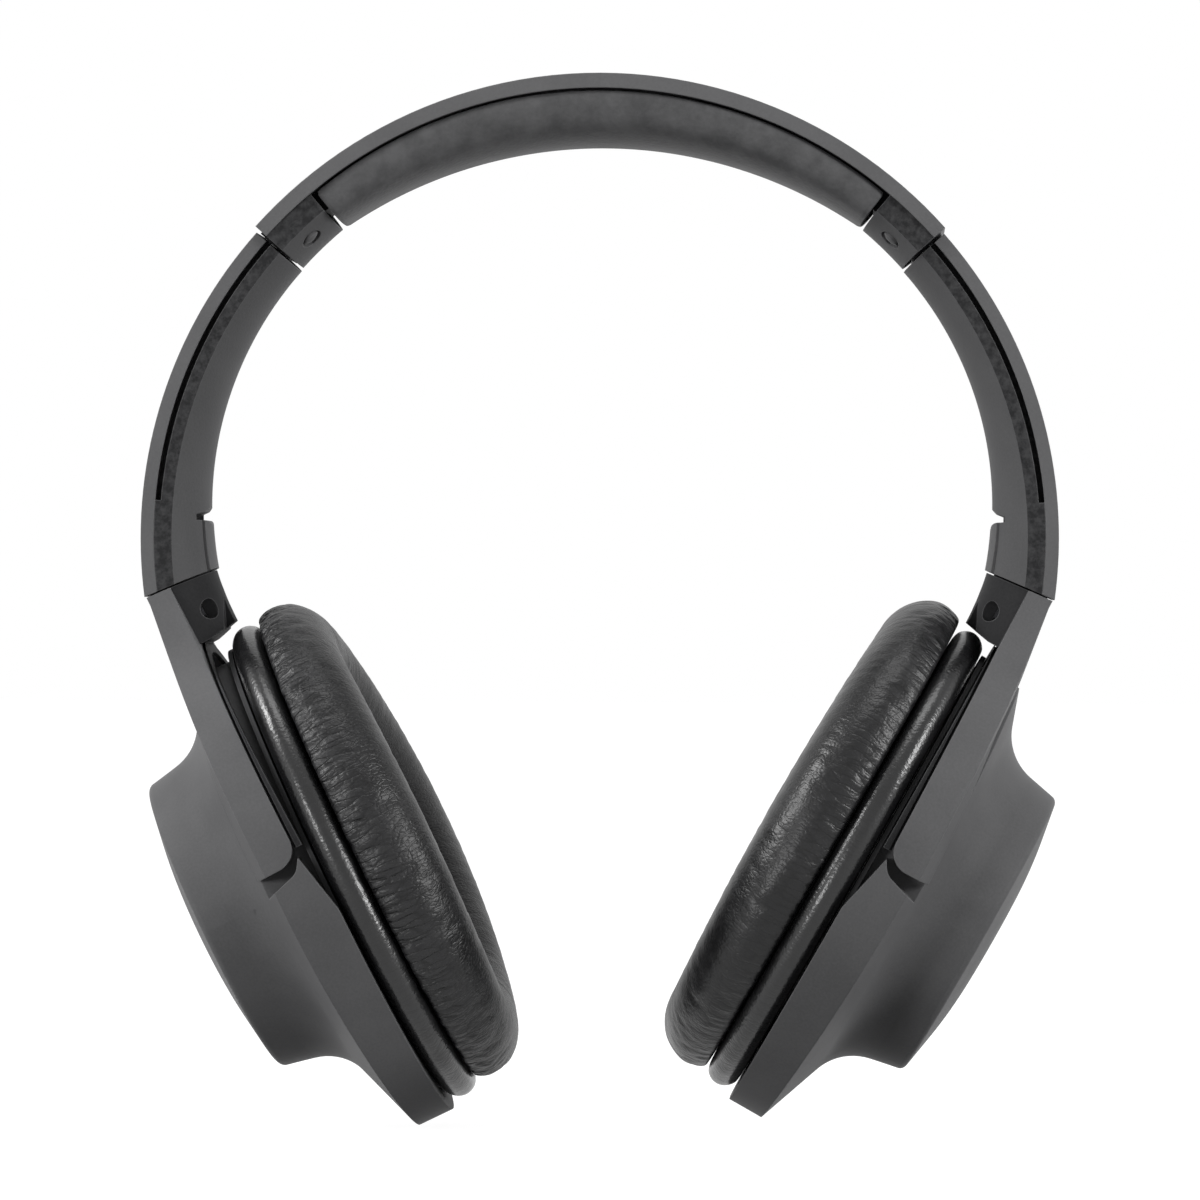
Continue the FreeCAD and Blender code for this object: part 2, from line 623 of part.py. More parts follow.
def yoke_outline():
    """The fork seen from outside: the rim's oval below, the arm's width above, hollow shoulders."""
    top = neck_top() + NECK_SPARE
    shoulder = neck_top() - SHOULDER_DROP
    foot = Vector(0, CUP_HALF_WIDTH * math.sin(math.pi / 4), CUP_HALF_HEIGHT * math.cos(math.pi / 4))
    head = Vector(0, ARM_HALF_WIDTH, shoulder)
    chord = foot - head
    inward = Vector(0, chord.z, -chord.y).normalize()
    middle = (head + foot) / 2 + inward * NECK_HOLLOW
    opposite = [Vector(0, -point.y, point.z) for point in (head, middle, foot)]
    edges = [
        line(Vector(0, -ARM_HALF_WIDTH, top), Vector(0, ARM_HALF_WIDTH, top)),
        line(Vector(0, ARM_HALF_WIDTH, top), head),
        arc(head, middle, foot),
        line(foot, opposite[2]),
        arc(opposite[2], opposite[1], opposite[0]),
        line(opposite[0], Vector(0, -ARM_HALF_WIDTH, top)),
    ]
    face = face_of(edges)
    face.translate(Vector(-FAR / 4, 0, 0))
    neck = face.extrude(Vector(FAR / 2, 0, 0))
    oval = oval_block(CUP_HALF_WIDTH, CUP_HALF_HEIGHT, -FAR / 4, FAR / 4)
    return oval.fuse(neck)


def yoke_envelope():
    """Turned body that gives the fork its outer face: a bevel on the arms, nearly flat above."""
    neck = neck_top()
    corners = [
        (YOKE_INNER_DEPTH, 0),
        (YOKE_INNER_DEPTH, FAR / 2),
        (YOKE_NECK_DEPTH, FAR / 2),
        (YOKE_NECK_DEPTH, neck),
        (YOKE_OUTER_DEPTH, CUP_HALF_WIDTH),
        (YOKE_OUTER_DEPTH - YOKE_BEVEL, CUP_HALF_WIDTH - YOKE_THICKNESS),
        (YOKE_OUTER_DEPTH - YOKE_BEVEL, 0),
    ]
    return turned(corners)


def yoke_inner_oval():
    return CUP_HALF_WIDTH - YOKE_THICKNESS, CUP_HALF_HEIGHT - YOKE_TOP_THICKNESS


def yoke():
    body = yoke_outline().cut(oval_block(*yoke_inner_oval(), -FAR / 4, FAR / 4))
    body = body.common(yoke_envelope())
    body = body.common(block_across([
        (-FAR / 4, YOKE_TIP),
        (YOKE_INNER_DEPTH, YOKE_TIP, YOKE_TIP_RADIUS),
        (YOKE_INNER_DEPTH, FAR / 2),
        (-FAR / 4, FAR / 2),
    ]))
    body = body.common(below_swivel())
    body = body.cut(swivel_bearing()).cut(yoke_screws())
    return body.cut(pivot_pins())


def screw(seat, shank_length):
    """Screw along the cup's depth, its head towards the ear."""
    head = Part.makeCylinder(SCREW_HEAD_RADIUS, HEAD_THICKNESS, seat, INWARDS)
    return head.fuse(Part.makeCylinder(SHANK_RADIUS, shank_length, seat, OUTWARDS))


def yoke_screw_places():
    height = neck_top() - YOKE_SCREW_DROP
    return [Vector(0, y, height) for y in (-YOKE_SCREW_OFFSET, YOKE_SCREW_OFFSET)]


def yoke_screws():
    seat = YOKE_INNER_DEPTH + YOKE_SCREW_SEAT
    shank = seat - YOKE_OUTER_DEPTH - YOKE_SCREW_COVER
    return Part.makeCompound([screw(place + Vector(seat, 0, 0), shank) for place in yoke_screw_places()])


def yoke_inner_cover():
    """Cover inside the neck, screwed on, with a liner along both arms of the fork."""
    blank = cover_block().fuse(fork_liner()).removeSplitter()
    blank = blank.common(below_swivel()).cut(swivel_bearing())
    for place in yoke_screw_places():
        seat = place + Vector(YOKE_INNER_DEPTH + YOKE_SCREW_SEAT, 0, 0)
        blank = blank.cut(Part.makeCylinder(SCREW_HOLE_RADIUS, FAR / 4, seat, INWARDS))
        blank = blank.cut(Part.makeCylinder(SHANK_RADIUS, FAR / 4, seat, OUTWARDS))
    return blank


def cover_block():
    """Crowned block over the swivel's pin; its sides end higher than the rib in its middle."""
    top = neck_top()
    heights = [NECK_SPARE, -COVER_WAIST[1], -COVER_HEEL[1] - 1]
    crests = [COVER_CREST, COVER_WAIST[0], COVER_FOOT[0]]

    def section(height, crest):
        edge = [Vector(YOKE_INNER_DEPTH, side * ARM_HALF_WIDTH, height) for side in (-1, 1)]
        return Part.Wire([line(edge[0], edge[1]), arc(edge[1], Vector(crest, 0, height), edge[0])])

    blank = Part.makeLoft([section(top + rise, crest) for rise, crest in zip(heights, crests)], True)
    outline = [
        (YOKE_INNER_DEPTH, top - COVER_HEEL[1]),
        (COVER_HEEL[0], top - COVER_HEEL[1]),
        (COVER_SIDE_FOOT[0], top - COVER_SIDE_FOOT[1]),
        (COVER_FOOT[0], top - COVER_FOOT[1]),
        (COVER_WAIST[0], top - COVER_WAIST[1]),
        (COVER_CREST + 1, top + NECK_SPARE),
        (YOKE_INNER_DEPTH, top + NECK_SPARE),
    ]
    whole = blank.common(block_across(outline[:4] + [(COVER_CREST + 1, top - COVER_FOOT[1])] + outline[5:]))
    rib = Part.makeBox(FAR, 2 * COVER_RIB_HALF_WIDTH, FAR, Vector(-FAR / 2, -COVER_RIB_HALF_WIDTH, 0))
    sides = blank.common(block_across(outline[:3] + outline[4:]))
    return sides.fuse(whole.common(rib)).removeSplitter()


def fork_liner():
    """Thin strip along the inner edge of the fork, parted from its outer face by a groove."""
    width, depth = LINER_GROOVE
    top = YOKE_INNER_DEPTH + width
    outer = [CUP_HALF_WIDTH - LINER_STEP, CUP_HALF_HEIGHT - LINER_STEP]
    root = [half - depth + LINER_STEP for half in outer]
    inner = [FLANGE_HALF_WIDTH + LINER_WALL, max(FLANGE_HALF_HEIGHT + LINER_WALL, yoke_inner_oval()[1])]
    strip = oval_ring(outer, inner, top, 0).fuse(oval_ring(root, inner, YOKE_INNER_DEPTH, top))
    return strip.removeSplitter().common(block_across([
        (YOKE_INNER_DEPTH, LINER_END),
        (LINER_DEPTH[0], LINER_END),
        (LINER_DEPTH[1], CUP_HALF_HEIGHT),
        (YOKE_INNER_DEPTH, CUP_HALF_HEIGHT),
    ]))


def pivot_pins():
    pins = []
    for side in (-1, 1):
        outer = CUP_HALF_WIDTH - YOKE_THICKNESS + PIVOT_SOCKET
        start = Vector(PIVOT_DEPTH, side * outer, PIVOT_HEIGHT)
        pins.append(Part.makeCylinder(PIVOT_RADIUS, PIVOT_LENGTH, start, Vector(0, -side, 0)))
    return Part.makeCompound(pins)


# ---- Cup, in its own frame ----
def dish(inset):
    """Body turned about the cup's axis: crowned outer face, edge, hollow flare out to the rim."""
    rim_slope = (CUP_HALF_HEIGHT - FLARE_WAIST_RADIUS) / (FLARE_WAIST_DEPTH - FLARE_RIM_DEPTH)
    crest = -CUP_DEPTH + inset
    edge = crest + FACE_CROWN
    corners = [
        (crest, 0),
        (crest, (FACE_RADIUS - inset) / 2, FACE_CENTRE_RADIUS),
        (edge, FACE_RADIUS - inset, FACE_EDGE_RADIUS),
        (-FLARE_WAIST_DEPTH + inset / 2, FLARE_WAIST_RADIUS - inset, FLARE_ROUND),
        (inset / 2, FLARE_WAIST_RADIUS - inset + rim_slope * FLARE_WAIST_DEPTH),
        (inset / 2, 0),
    ]
    return turned(corners)


def cup_inner_oval():
    """Reduced oval of the housing, inside the fork."""
    half_width, half_height = yoke_inner_oval()
    return half_width - CUP_GAP, half_height - CUP_TOP_GAP


def cavity_oval():
    half_width, half_height = cup_inner_oval()
    return half_width - HOUSING_WALL, half_height - HOUSING_WALL


def housing(with_socket):
    whole = dish(0)
    lower = whole.common(oval_block(CUP_HALF_WIDTH, CUP_HALF_HEIGHT, -FAR / 4, 0))
    lower = lower.common(block_across([
        (-FAR / 4, RIM_SLOPE[1]),
        RIM_SLOPE,
        RIM_BEND,
        (YOKE_INNER_DEPTH, RIM_CORNER),
        (0, RIM_FULL_HEIGHT),
        (0, -FAR / 2),
        (-FAR / 4, -FAR / 2),
    ]))
    upper = whole.common(oval_block(*cup_inner_oval(), -FAR / 4, -FLANGE_THICKNESS))
    body = upper.fuse(lower)
    cavity = dish(HOUSING_WALL).common(oval_block(*cavity_oval(), -FAR / 4, 1))
    body = body.cut(cavity)
    for place in baffle_screw_places():
        boss = Part.makeCylinder(BOSS_RADIUS, FAR / 4, place + OUTWARDS * baffle_depth(), OUTWARDS)
        body = body.fuse(boss.common(whole))
    seat = (FLANGE_HALF_WIDTH + PLUG_CLEARANCE, FLANGE_HALF_HEIGHT + PLUG_CLEARANCE)
    body = body.cut(oval_block(*seat, -FLANGE_THICKNESS, 1))
    for pin in pivot_pins().Solids:
        centre = pin.CenterOfMass
        bore = Part.makeCylinder(PIVOT_RADIUS + RUNNING_CLEARANCE, 3 * PIVOT_LENGTH,
                                 Vector(centre.x, centre.y - 1.5 * PIVOT_LENGTH, centre.z), Y_AXIS)
        body = body.cut(bore)
    for place in baffle_screw_places():
        length = baffle_depth() + BAFFLE_SCREW_LENGTH
        body = body.cut(Part.makeCylinder(SHANK_RADIUS, length, place, OUTWARDS))
    if with_socket:
        flat = -CUP_HALF_HEIGHT + SOCKET_FLAT
        body = body.cut(Part.makeBox(FAR, FAR, FAR, Vector(-FAR / 2, -FAR / 2, flat - FAR)))
        body = body.cut(socket_cylinder(SOCKET_RADIUS, -1))
    return body


def baffle_depth():
    return FLANGE_THICKNESS + PLUG_DEPTH


def baffle_screw_places():
    sides, heights = (-BAFFLE_SCREW_Y, BAFFLE_SCREW_Y), (-BAFFLE_SCREW_T, BAFFLE_SCREW_T)
    return [Vector(0, side, height) for side in sides for height in heights]


def baffle_screws():
    seat = Vector(-HEAD_THICKNESS, 0, 0)
    return Part.makeCompound([screw(place + seat, BAFFLE_SCREW_LENGTH) for place in baffle_screw_places()])


def baffle():
    flange = oval_block(FLANGE_HALF_WIDTH, FLANGE_HALF_HEIGHT, -FLANGE_THICKNESS, 0)
    edge = [half - PLUG_CLEARANCE for half in cavity_oval()]
    plug = oval_block(*edge, -baffle_depth(), -FLANGE_THICKNESS)
    notch = SOCKET_RADIUS + 2 * PLUG_CLEARANCE
    corner = Vector(-baffle_depth() - 1, -notch, SOCKET_LENGTH + 1 - CUP_HALF_HEIGHT - FAR)
    plug = plug.cut(Part.makeBox(PLUG_DEPTH + 2, 2 * notch, FAR, corner))
    window = Part.makeCylinder(driver_opening(), FAR, OUTWARDS * (FAR / 2), INWARDS)
    return flange.fuse(plug).cut(window).cut(baffle_screws())


def driver_opening():
    return DRIVER_RADIUS - DRIVER_FLANGE_WIDTH


def driver_front():
    """Depth at which the driver sits against the baffle."""
    return -baffle_depth() - DIAPHRAGM_THICKNESS


def driver_frame():
    back = driver_front() - DRIVER_FLANGE_THICKNESS
    floor = back - BASKET_DEPTH
    return turned([
        (driver_front(), driver_opening()),
        (driver_front(), DRIVER_RADIUS),
        (back, DRIVER_RADIUS),
        (back, driver_opening() + BASKET_WALL),
        (floor, MAGNET_RADIUS + BASKET_WALL),
        (floor, MAGNET_RADIUS - BASKET_WALL),
        (floor + BASKET_WALL, MAGNET_RADIUS - BASKET_WALL),
        (back + BASKET_WALL / 2, driver_opening()),
    ])


def driver_magnet():
    back = driver_front() - DRIVER_FLANGE_THICKNESS - BASKET_DEPTH - MAGNET_THICKNESS
    return Part.makeCylinder(MAGNET_RADIUS, MAGNET_THICKNESS, Vector(back, 0, 0), INWARDS)


def diaphragm():
    back = driver_front()
    crest = back + DIAPHRAGM_DOME
    return turned([
        (crest, 0),
        (crest, DOME_RADIUS / 2, DOME_RADIUS * 2),
        (back, DOME_RADIUS),
        (back, DIAPHRAGM_RADIUS),
        (back + DIAPHRAGM_THICKNESS, DIAPHRAGM_RADIUS),
        (back + DIAPHRAGM_THICKNESS, DOME_RADIUS + DIAPHRAGM_THICKNESS),
        (crest + DIAPHRAGM_THICKNESS, DOME_RADIUS / 2, DOME_RADIUS * 2),
        (crest + DIAPHRAGM_THICKNESS, 0),
    ])


def ear_cloth():
    return oval_block(EAR_HALF_WIDTH - SOFT_GAP, EAR_HALF_HEIGHT - SOFT_GAP, 0, CLOTH_THICKNESS)


def soft_ring(size, near, thickness, outer_round, inner_round, bow=0.0):
    """Padded oval ring: outer edges rounded more than the edges of the ear opening."""
    ring = oval_ring(size, (EAR_HALF_WIDTH, EAR_HALF_HEIGHT), near, near + thickness)
    if bow:
        start = Vector(near + thickness - bow, -FAR / 2, 0)
        ring = ring.common(Part.makeCylinder(bow, FAR, start, Y_AXIS))

    def in_opening(edge):
        return edge.BoundBox.ZLength < EAR_HALF_HEIGHT * 2 + 1 and edge.BoundBox.YLength > EAR_HALF_WIDTH

    def outside(edge):
        return edge.BoundBox.ZLength > EAR_HALF_HEIGHT * 2 + 1 and edge.BoundBox.XLength < thickness / 2

    ring = round_edges(ring, outer_round, outside)
    return round_edges(ring, inner_round, in_opening)


def cushion_base():
    size = (BASE_HALF_WIDTH, BASE_HALF_HEIGHT)
    return soft_ring(size, SOFT_GAP, BASE_THICKNESS, BASE_EDGE_RADIUS, BASE_OPENING_ROUND)


def cushion():
    near = BASE_THICKNESS + 2 * SOFT_GAP
    size = (CUSHION_HALF_WIDTH, CUSHION_HALF_HEIGHT)
    return soft_ring(size, near, CUSHION_THICKNESS, CUSHION_EDGE_RADIUS, CUSHION_OPENING_ROUND,
                     CUSHION_BOW_RADIUS)


# ---- Cable socket, in the left cup only ----
def socket_cylinder(radius, start):
    """Cylinder up from the flat on the rim; start counts from that flat."""
    low = Vector(SOCKET_DEPTH, 0, -CUP_HALF_HEIGHT + SOCKET_FLAT + start)
    return Part.makeCylinder(radius, SOCKET_LENGTH - start, low, Vector(0, 0, 1))


def audio_socket():
    low = Vector(SOCKET_DEPTH, 0, -CUP_HALF_HEIGHT + SOCKET_FLAT - SOCKET_END_WALL)
    bore = Part.makeCylinder(SOCKET_BORE_RADIUS, SOCKET_LENGTH, low, Vector(0, 0, 1))
    return socket_cylinder(SOCKET_RADIUS, 0).cut(bore)


def circuit_board():
    top = SOCKET_DEPTH - SOCKET_RADIUS
    start = BOARD_MARGIN - cavity_oval()[1]
    return Part.makeBox(BOARD_THICKNESS, 2 * BOARD_HALF_WIDTH, BOARD_LENGTH,
                        Vector(top - BOARD_THICKNESS, -BOARD_HALF_WIDTH, start))


# ---- The whole assembly ----
def arm_pieces():
    return {
        "end_cap": end_cap(),
        "end_cap_screws": cap_screws(1),
        "arm_outer_cover": arm_outer_cover(),
        "arm_inner_cover": arm_inner_cover(),
        "arm_tab": arm_tab(),
        "arm_screw": arm_screw(),
        "swivel_pin": swivel_pin(),
    }


def yoke_pieces():
    return {
        "yoke": yoke(),
        "yoke_inner_cover": yoke_inner_cover(),
        "yoke_screws": yoke_screws(),
        "pivot_pins": pivot_pins(),
    }


def cup_pieces():
    return {
        "baffle": baffle(),
        "baffle_screws": baffle_screws(),
        "driver_frame": driver_frame(),
        "driver_magnet": driver_magnet(),
        "driver_diaphragm": diaphragm(),
        "ear_cloth": ear_cloth(),
        "cushion_base": cushion_base(),
        "cushion": cushion(),
    }


def mirrored(shape):
    return shape.mirror(Vector(0, 0, 0), Vector(1, 0, 0))


def all_pieces():
    """Every piece by its name; the right side is modelled and the left one is its mirror image."""
    right = {name: to_cup(shape) for name, shape in yoke_pieces().items()}
    right.update(arm_pieces())
    left = {name: mirrored(shape) for name, shape in right.items()}
    cup = cup_pieces()
    right_cup = dict(cup, housing=housing(False))
    left_cup = dict(cup, housing=housing(True), audio_socket=audio_socket(), circuit_board=circuit_board())
    right.update({name: to_cup(at_rest(shape, RIGHT_REST_TILT)) for name, shape in right_cup.items()})
    left.update({name: mirrored(to_cup(at_rest(shape, LEFT_REST_TILT))) for name, shape in left_cup.items()})
    pieces = {
        "headband_cover": headband_cover(),
        "headband_frame": headband_frame(),
        "headband_pad": headband_pad(),
        "spring_band": spring_band(),
    }
    pieces.update({"right_" + name: shape for name, shape in right.items()})
    pieces.update({"left_" + name: shape for name, shape in left.items()})
    head_rest = Vector(0, 0, PAD_CREST_DEPTH - BAND_RADIUS)
    return {name: shape.translated(head_rest) for name, shape in pieces.items()}


def main():
    os.makedirs("parts", exist_ok=True)
    for name, shape in sorted(all_pieces().items()):
        if not shape.isValid() or not shape.Solids:
            raise ValueError(name + " is not a valid solid")
        shape.exportStep("parts/" + name + ".step")
        print(name, len(shape.Solids), "solids", round(shape.Volume), "mm3")


main()
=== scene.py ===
"""Over-ear headphones: finishes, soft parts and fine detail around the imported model.

Pieces are drawn in millimetres and end up in metres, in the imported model's frame:
+Z up, +X to the wearer's left, the wearer faces -Y. A cup's own frame is depth N
towards the head, Y to the back and T up the cup, drawn for the wearer's right.
"""
import json
import math

import bmesh
import bpy
from mathutils import Matrix, Quaternion, Vector, noise


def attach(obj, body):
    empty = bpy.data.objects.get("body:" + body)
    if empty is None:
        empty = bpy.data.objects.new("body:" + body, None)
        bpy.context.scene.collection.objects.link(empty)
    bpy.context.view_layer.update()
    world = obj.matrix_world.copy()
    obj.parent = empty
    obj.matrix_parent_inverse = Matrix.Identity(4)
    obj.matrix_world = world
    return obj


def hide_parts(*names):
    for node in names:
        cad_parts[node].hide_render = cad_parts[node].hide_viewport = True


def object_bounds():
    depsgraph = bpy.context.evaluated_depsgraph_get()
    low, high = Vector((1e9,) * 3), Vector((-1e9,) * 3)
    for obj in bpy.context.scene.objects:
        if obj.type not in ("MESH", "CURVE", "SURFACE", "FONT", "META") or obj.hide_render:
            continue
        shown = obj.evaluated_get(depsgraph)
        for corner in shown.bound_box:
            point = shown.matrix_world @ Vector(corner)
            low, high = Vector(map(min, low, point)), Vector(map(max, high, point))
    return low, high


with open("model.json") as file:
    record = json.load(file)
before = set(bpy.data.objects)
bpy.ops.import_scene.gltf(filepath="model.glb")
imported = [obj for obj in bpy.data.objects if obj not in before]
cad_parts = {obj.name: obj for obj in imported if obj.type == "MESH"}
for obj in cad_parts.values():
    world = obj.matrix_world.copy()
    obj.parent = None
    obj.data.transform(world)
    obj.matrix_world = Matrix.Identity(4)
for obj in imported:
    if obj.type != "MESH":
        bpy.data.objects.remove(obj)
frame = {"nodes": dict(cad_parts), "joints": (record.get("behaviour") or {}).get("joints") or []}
NODES = frame["nodes"]
JOINTS = {joint["name"]: joint for joint in frame["joints"]}
CAD_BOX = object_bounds()

MM = 0.001
SIDES = ("right", "left")

# ---- Sizes, in millimetres ----
CUP_TILT = math.radians(28)
REST_TILT = {"right": math.radians(2.2), "left": math.radians(-1.5)}   # how each cup hangs
PIVOT_DEPTH = -5.6            # of the tilt pivots, in the cup's own frame
PIVOT_HEIGHT = 8.0
OPENING = (20.5, 28.5)        # half width and half height of the ear opening
CUSHION_HALF_WIDTH = 41.0
CUSHION_NEAR = 6.35           # depth at which the cushion starts, clear of the roll
CUSHION_FAR = 19              # depth at which the cushion's face has its full bow
# of each cushion: half height, its middle's rise above the cup's, radius of the bowed face, its crown
CUSHION_FORM = {"right": (46.3, 1.0, 300, 0.4), "left": (46.9, 1.2, 600, 0.1)}
CUSHION_GIRTH = 43.0          # mean radius of the outer seam, for patterns that run along it
CUSHION_STEPS = (34, 480)     # round the cushion's section and along its ring
BASE_ROLL = (40.4, 45.7)      # half width and half height
ROLL_STEPS = (36, 420)
BAND_CENTRE = Vector(JOINTS["right_slider"]["pos_m"]) / MM
PAD_POCKET = 10.6             # half width of the pocket for the headband's frame
PAD_TOP = 79.1                # radius of the pad's upper edges, against the cover
PAD_FLOOR = 75.3              # radius of the pocket's floor
PAD_CREST = 69.6              # radius of the underside, at the crown
PAD_END_CREST = 72.0          # the same at the pad's ends
PAD_ANGLE = math.radians(39.6)    # half of the arc that the pad covers
PAD_STEPS = 150
BAND_HALF_WIDTH = (15.5, 13.5)    # at the crown and at the ends of the cover
BAND_ANGLE = math.radians(48)     # half of the arc that the cover spans
SWELL_FRAMES = 20             # steps of cloth simulation for each filled piece
FILM_MASS = 0.002             # of each vertex of leatherette, in kilograms

# ---- Camera: a long lens, from the wearer's front and a little to their left ----
CAMERA_DISTANCE = 1450
CAMERA_TURN = math.radians(2.0)
CAMERA_ROLL = math.radians(0.2)
CAMERA_HEIGHT = -80.5
CAMERA_SIDE = -0.2
FRAME_WIDTH = 213.9           # seen across the object's middle plane
SENSOR = 36
CLIP_END = 20                 # in metres

# ---- Light ----
WORLD_LIGHT = 0.14            # all-round fill
FLOOR_WHITE = 0.95            # glow that keeps the floor white, seen and mirrored only
FLOOR_HALF = 6000
FLOOR_GAP = 0.3               # between the floor and the lowest solid
LAMP_AIM = Vector((0, 0, -85))


# ---- Small helpers ----
def linear(code):
    """An sRGB hex value as the linear colour that shaders take."""
    channels = [int(code[i:i + 2], 16) / 255 for i in (1, 3, 5)]
    return [c / 12.92 if c <= 0.04045 else ((c + 0.055) / 1.055) ** 2.4 for c in channels] + [1.0]


def add(tree, kind, inputs=None, **settings):
    """One node with its settings; an input is a value, a socket, or a node for its first output."""
    made = tree.nodes.new(kind)
    for name, value in settings.items():
        setattr(made, name, value)
    for name, value in (inputs or {}).items():
        if isinstance(value, bpy.types.Node):
            value = next(output for output in value.outputs if output.enabled)
        if isinstance(value, bpy.types.NodeSocket):
            tree.links.new(value, made.inputs[name])
        else:
            made.inputs[name].default_value = value
    return made


def ease(low, high, value):
    """0 below low, 1 above high, smooth between."""
    share = min(1.0, max(0.0, (value - low) / (high - low)))
    return share * share * (3 - 2 * share)


def new_material(name):
    """An empty material and its node tree."""
    material = bpy.data.materials.new(name)
    material.use_nodes = True
    material.node_tree.nodes.clear()
    return material, material.node_tree


# ---- Materials ----
def moulded_abs(name, dark, light, rough, grit_mm, grit_depth, side_dark=None, side_light=None):
    """ABS moulded against a spark-eroded tool: matt, faintly clouded, its edges lighter, partly rubbed
    wear and partly a painted highlight.

    The faces that point to the front and back can have a coarser, darker erosion of their own.
    """
    material, tree = new_material(name)
    coords = add(tree, "ShaderNodeTexCoord")
    place = coords.outputs["Object"]
    clouds = add(tree, "ShaderNodeTexNoise", {"Vector": place, "Scale": 1 / (14 * MM), "Detail": 2.0})
    # the tool's own grit is near 0.05 mm; it is drawn at grit_mm so that it shows
    grit = add(tree, "ShaderNodeTexNoise", {"Vector": place, "Scale": 1 / (grit_mm * MM), "Detail": 2.0})
    tone = add(tree, "ShaderNodeMix", {"Factor": 0.4, "A": clouds, "B": grit}, data_type="FLOAT")
    share = add(tree, "ShaderNodeMapRange", {"Value": tone, "From Min": 0.35, "From Max": 0.65})
    colour = add(tree, "ShaderNodeMix", {"Factor": share, "A": linear(dark), "B": linear(light)},
                 data_type="RGBA")
    relief = grit
    if side_dark:
        split = add(tree, "ShaderNodeSeparateXYZ", {"Vector": coords.outputs["Normal"]})
        facing = add(tree, "ShaderNodeMath", {0: split.outputs["Y"]}, operation="ABSOLUTE")
        flank = add(tree, "ShaderNodeMapRange", {"Value": facing, "From Min": 0.965, "From Max": 0.985})
        blotch = add(tree, "ShaderNodeTexNoise",
                     {"Vector": place, "Scale": 1 / (1.3 * MM), "Detail": 4.0, "Roughness": 0.7})
        spread = add(tree, "ShaderNodeMapRange", {"Value": blotch, "From Min": 0.38, "From Max": 0.64})
        side = add(tree, "ShaderNodeMix",
                   {"Factor": spread, "A": linear(side_dark), "B": linear(side_light)}, data_type="RGBA")
        colour = add(tree, "ShaderNodeMix", {"Factor": flank, "A": colour, "B": side}, data_type="RGBA")
        relief = add(tree, "ShaderNodeMix", {"Factor": flank, "A": grit, "B": blotch}, data_type="FLOAT")
    # edges mixed towards a lighter grey: partly rubbed wear, partly a painted highlight along them
    rounded = add(tree, "ShaderNodeBevel", {"Radius": 0.3 * MM}, samples=6)
    flat = add(tree, "ShaderNodeNewGeometry")
    meeting = add(tree, "ShaderNodeVectorMath", {0: rounded, 1: flat.outputs["Normal"]},
                  operation="DOT_PRODUCT")
    edge = add(tree, "ShaderNodeMapRange", {"Value": meeting.outputs["Value"], "From Min": 0.995,
                                            "From Max": 0.9, "To Max": 0.4})
    worn_and_highlit = add(tree, "ShaderNodeMix", {"Factor": edge, "A": colour, "B": linear("#848485")},
               data_type="RGBA")
    gloss = add(tree, "ShaderNodeMapRange", {"Value": grit, "From Min": 0.3, "From Max": 0.7,
                                             "To Min": rough - 0.05, "To Max": rough + 0.05})
    bumped = add(tree, "ShaderNodeBump", {"Height": relief, "Strength": 1.0, "Distance": grit_depth * MM,
                                          "Normal": rounded})
    shader = add(tree, "ShaderNodeBsdfPrincipled",
                 {"Base Color": worn_and_highlit, "Roughness": gloss, "Normal": bumped, "IOR": 1.5,
                  "Specular IOR Level": 0.04})
    add(tree, "ShaderNodeOutputMaterial", {"Surface": shader})
    return material


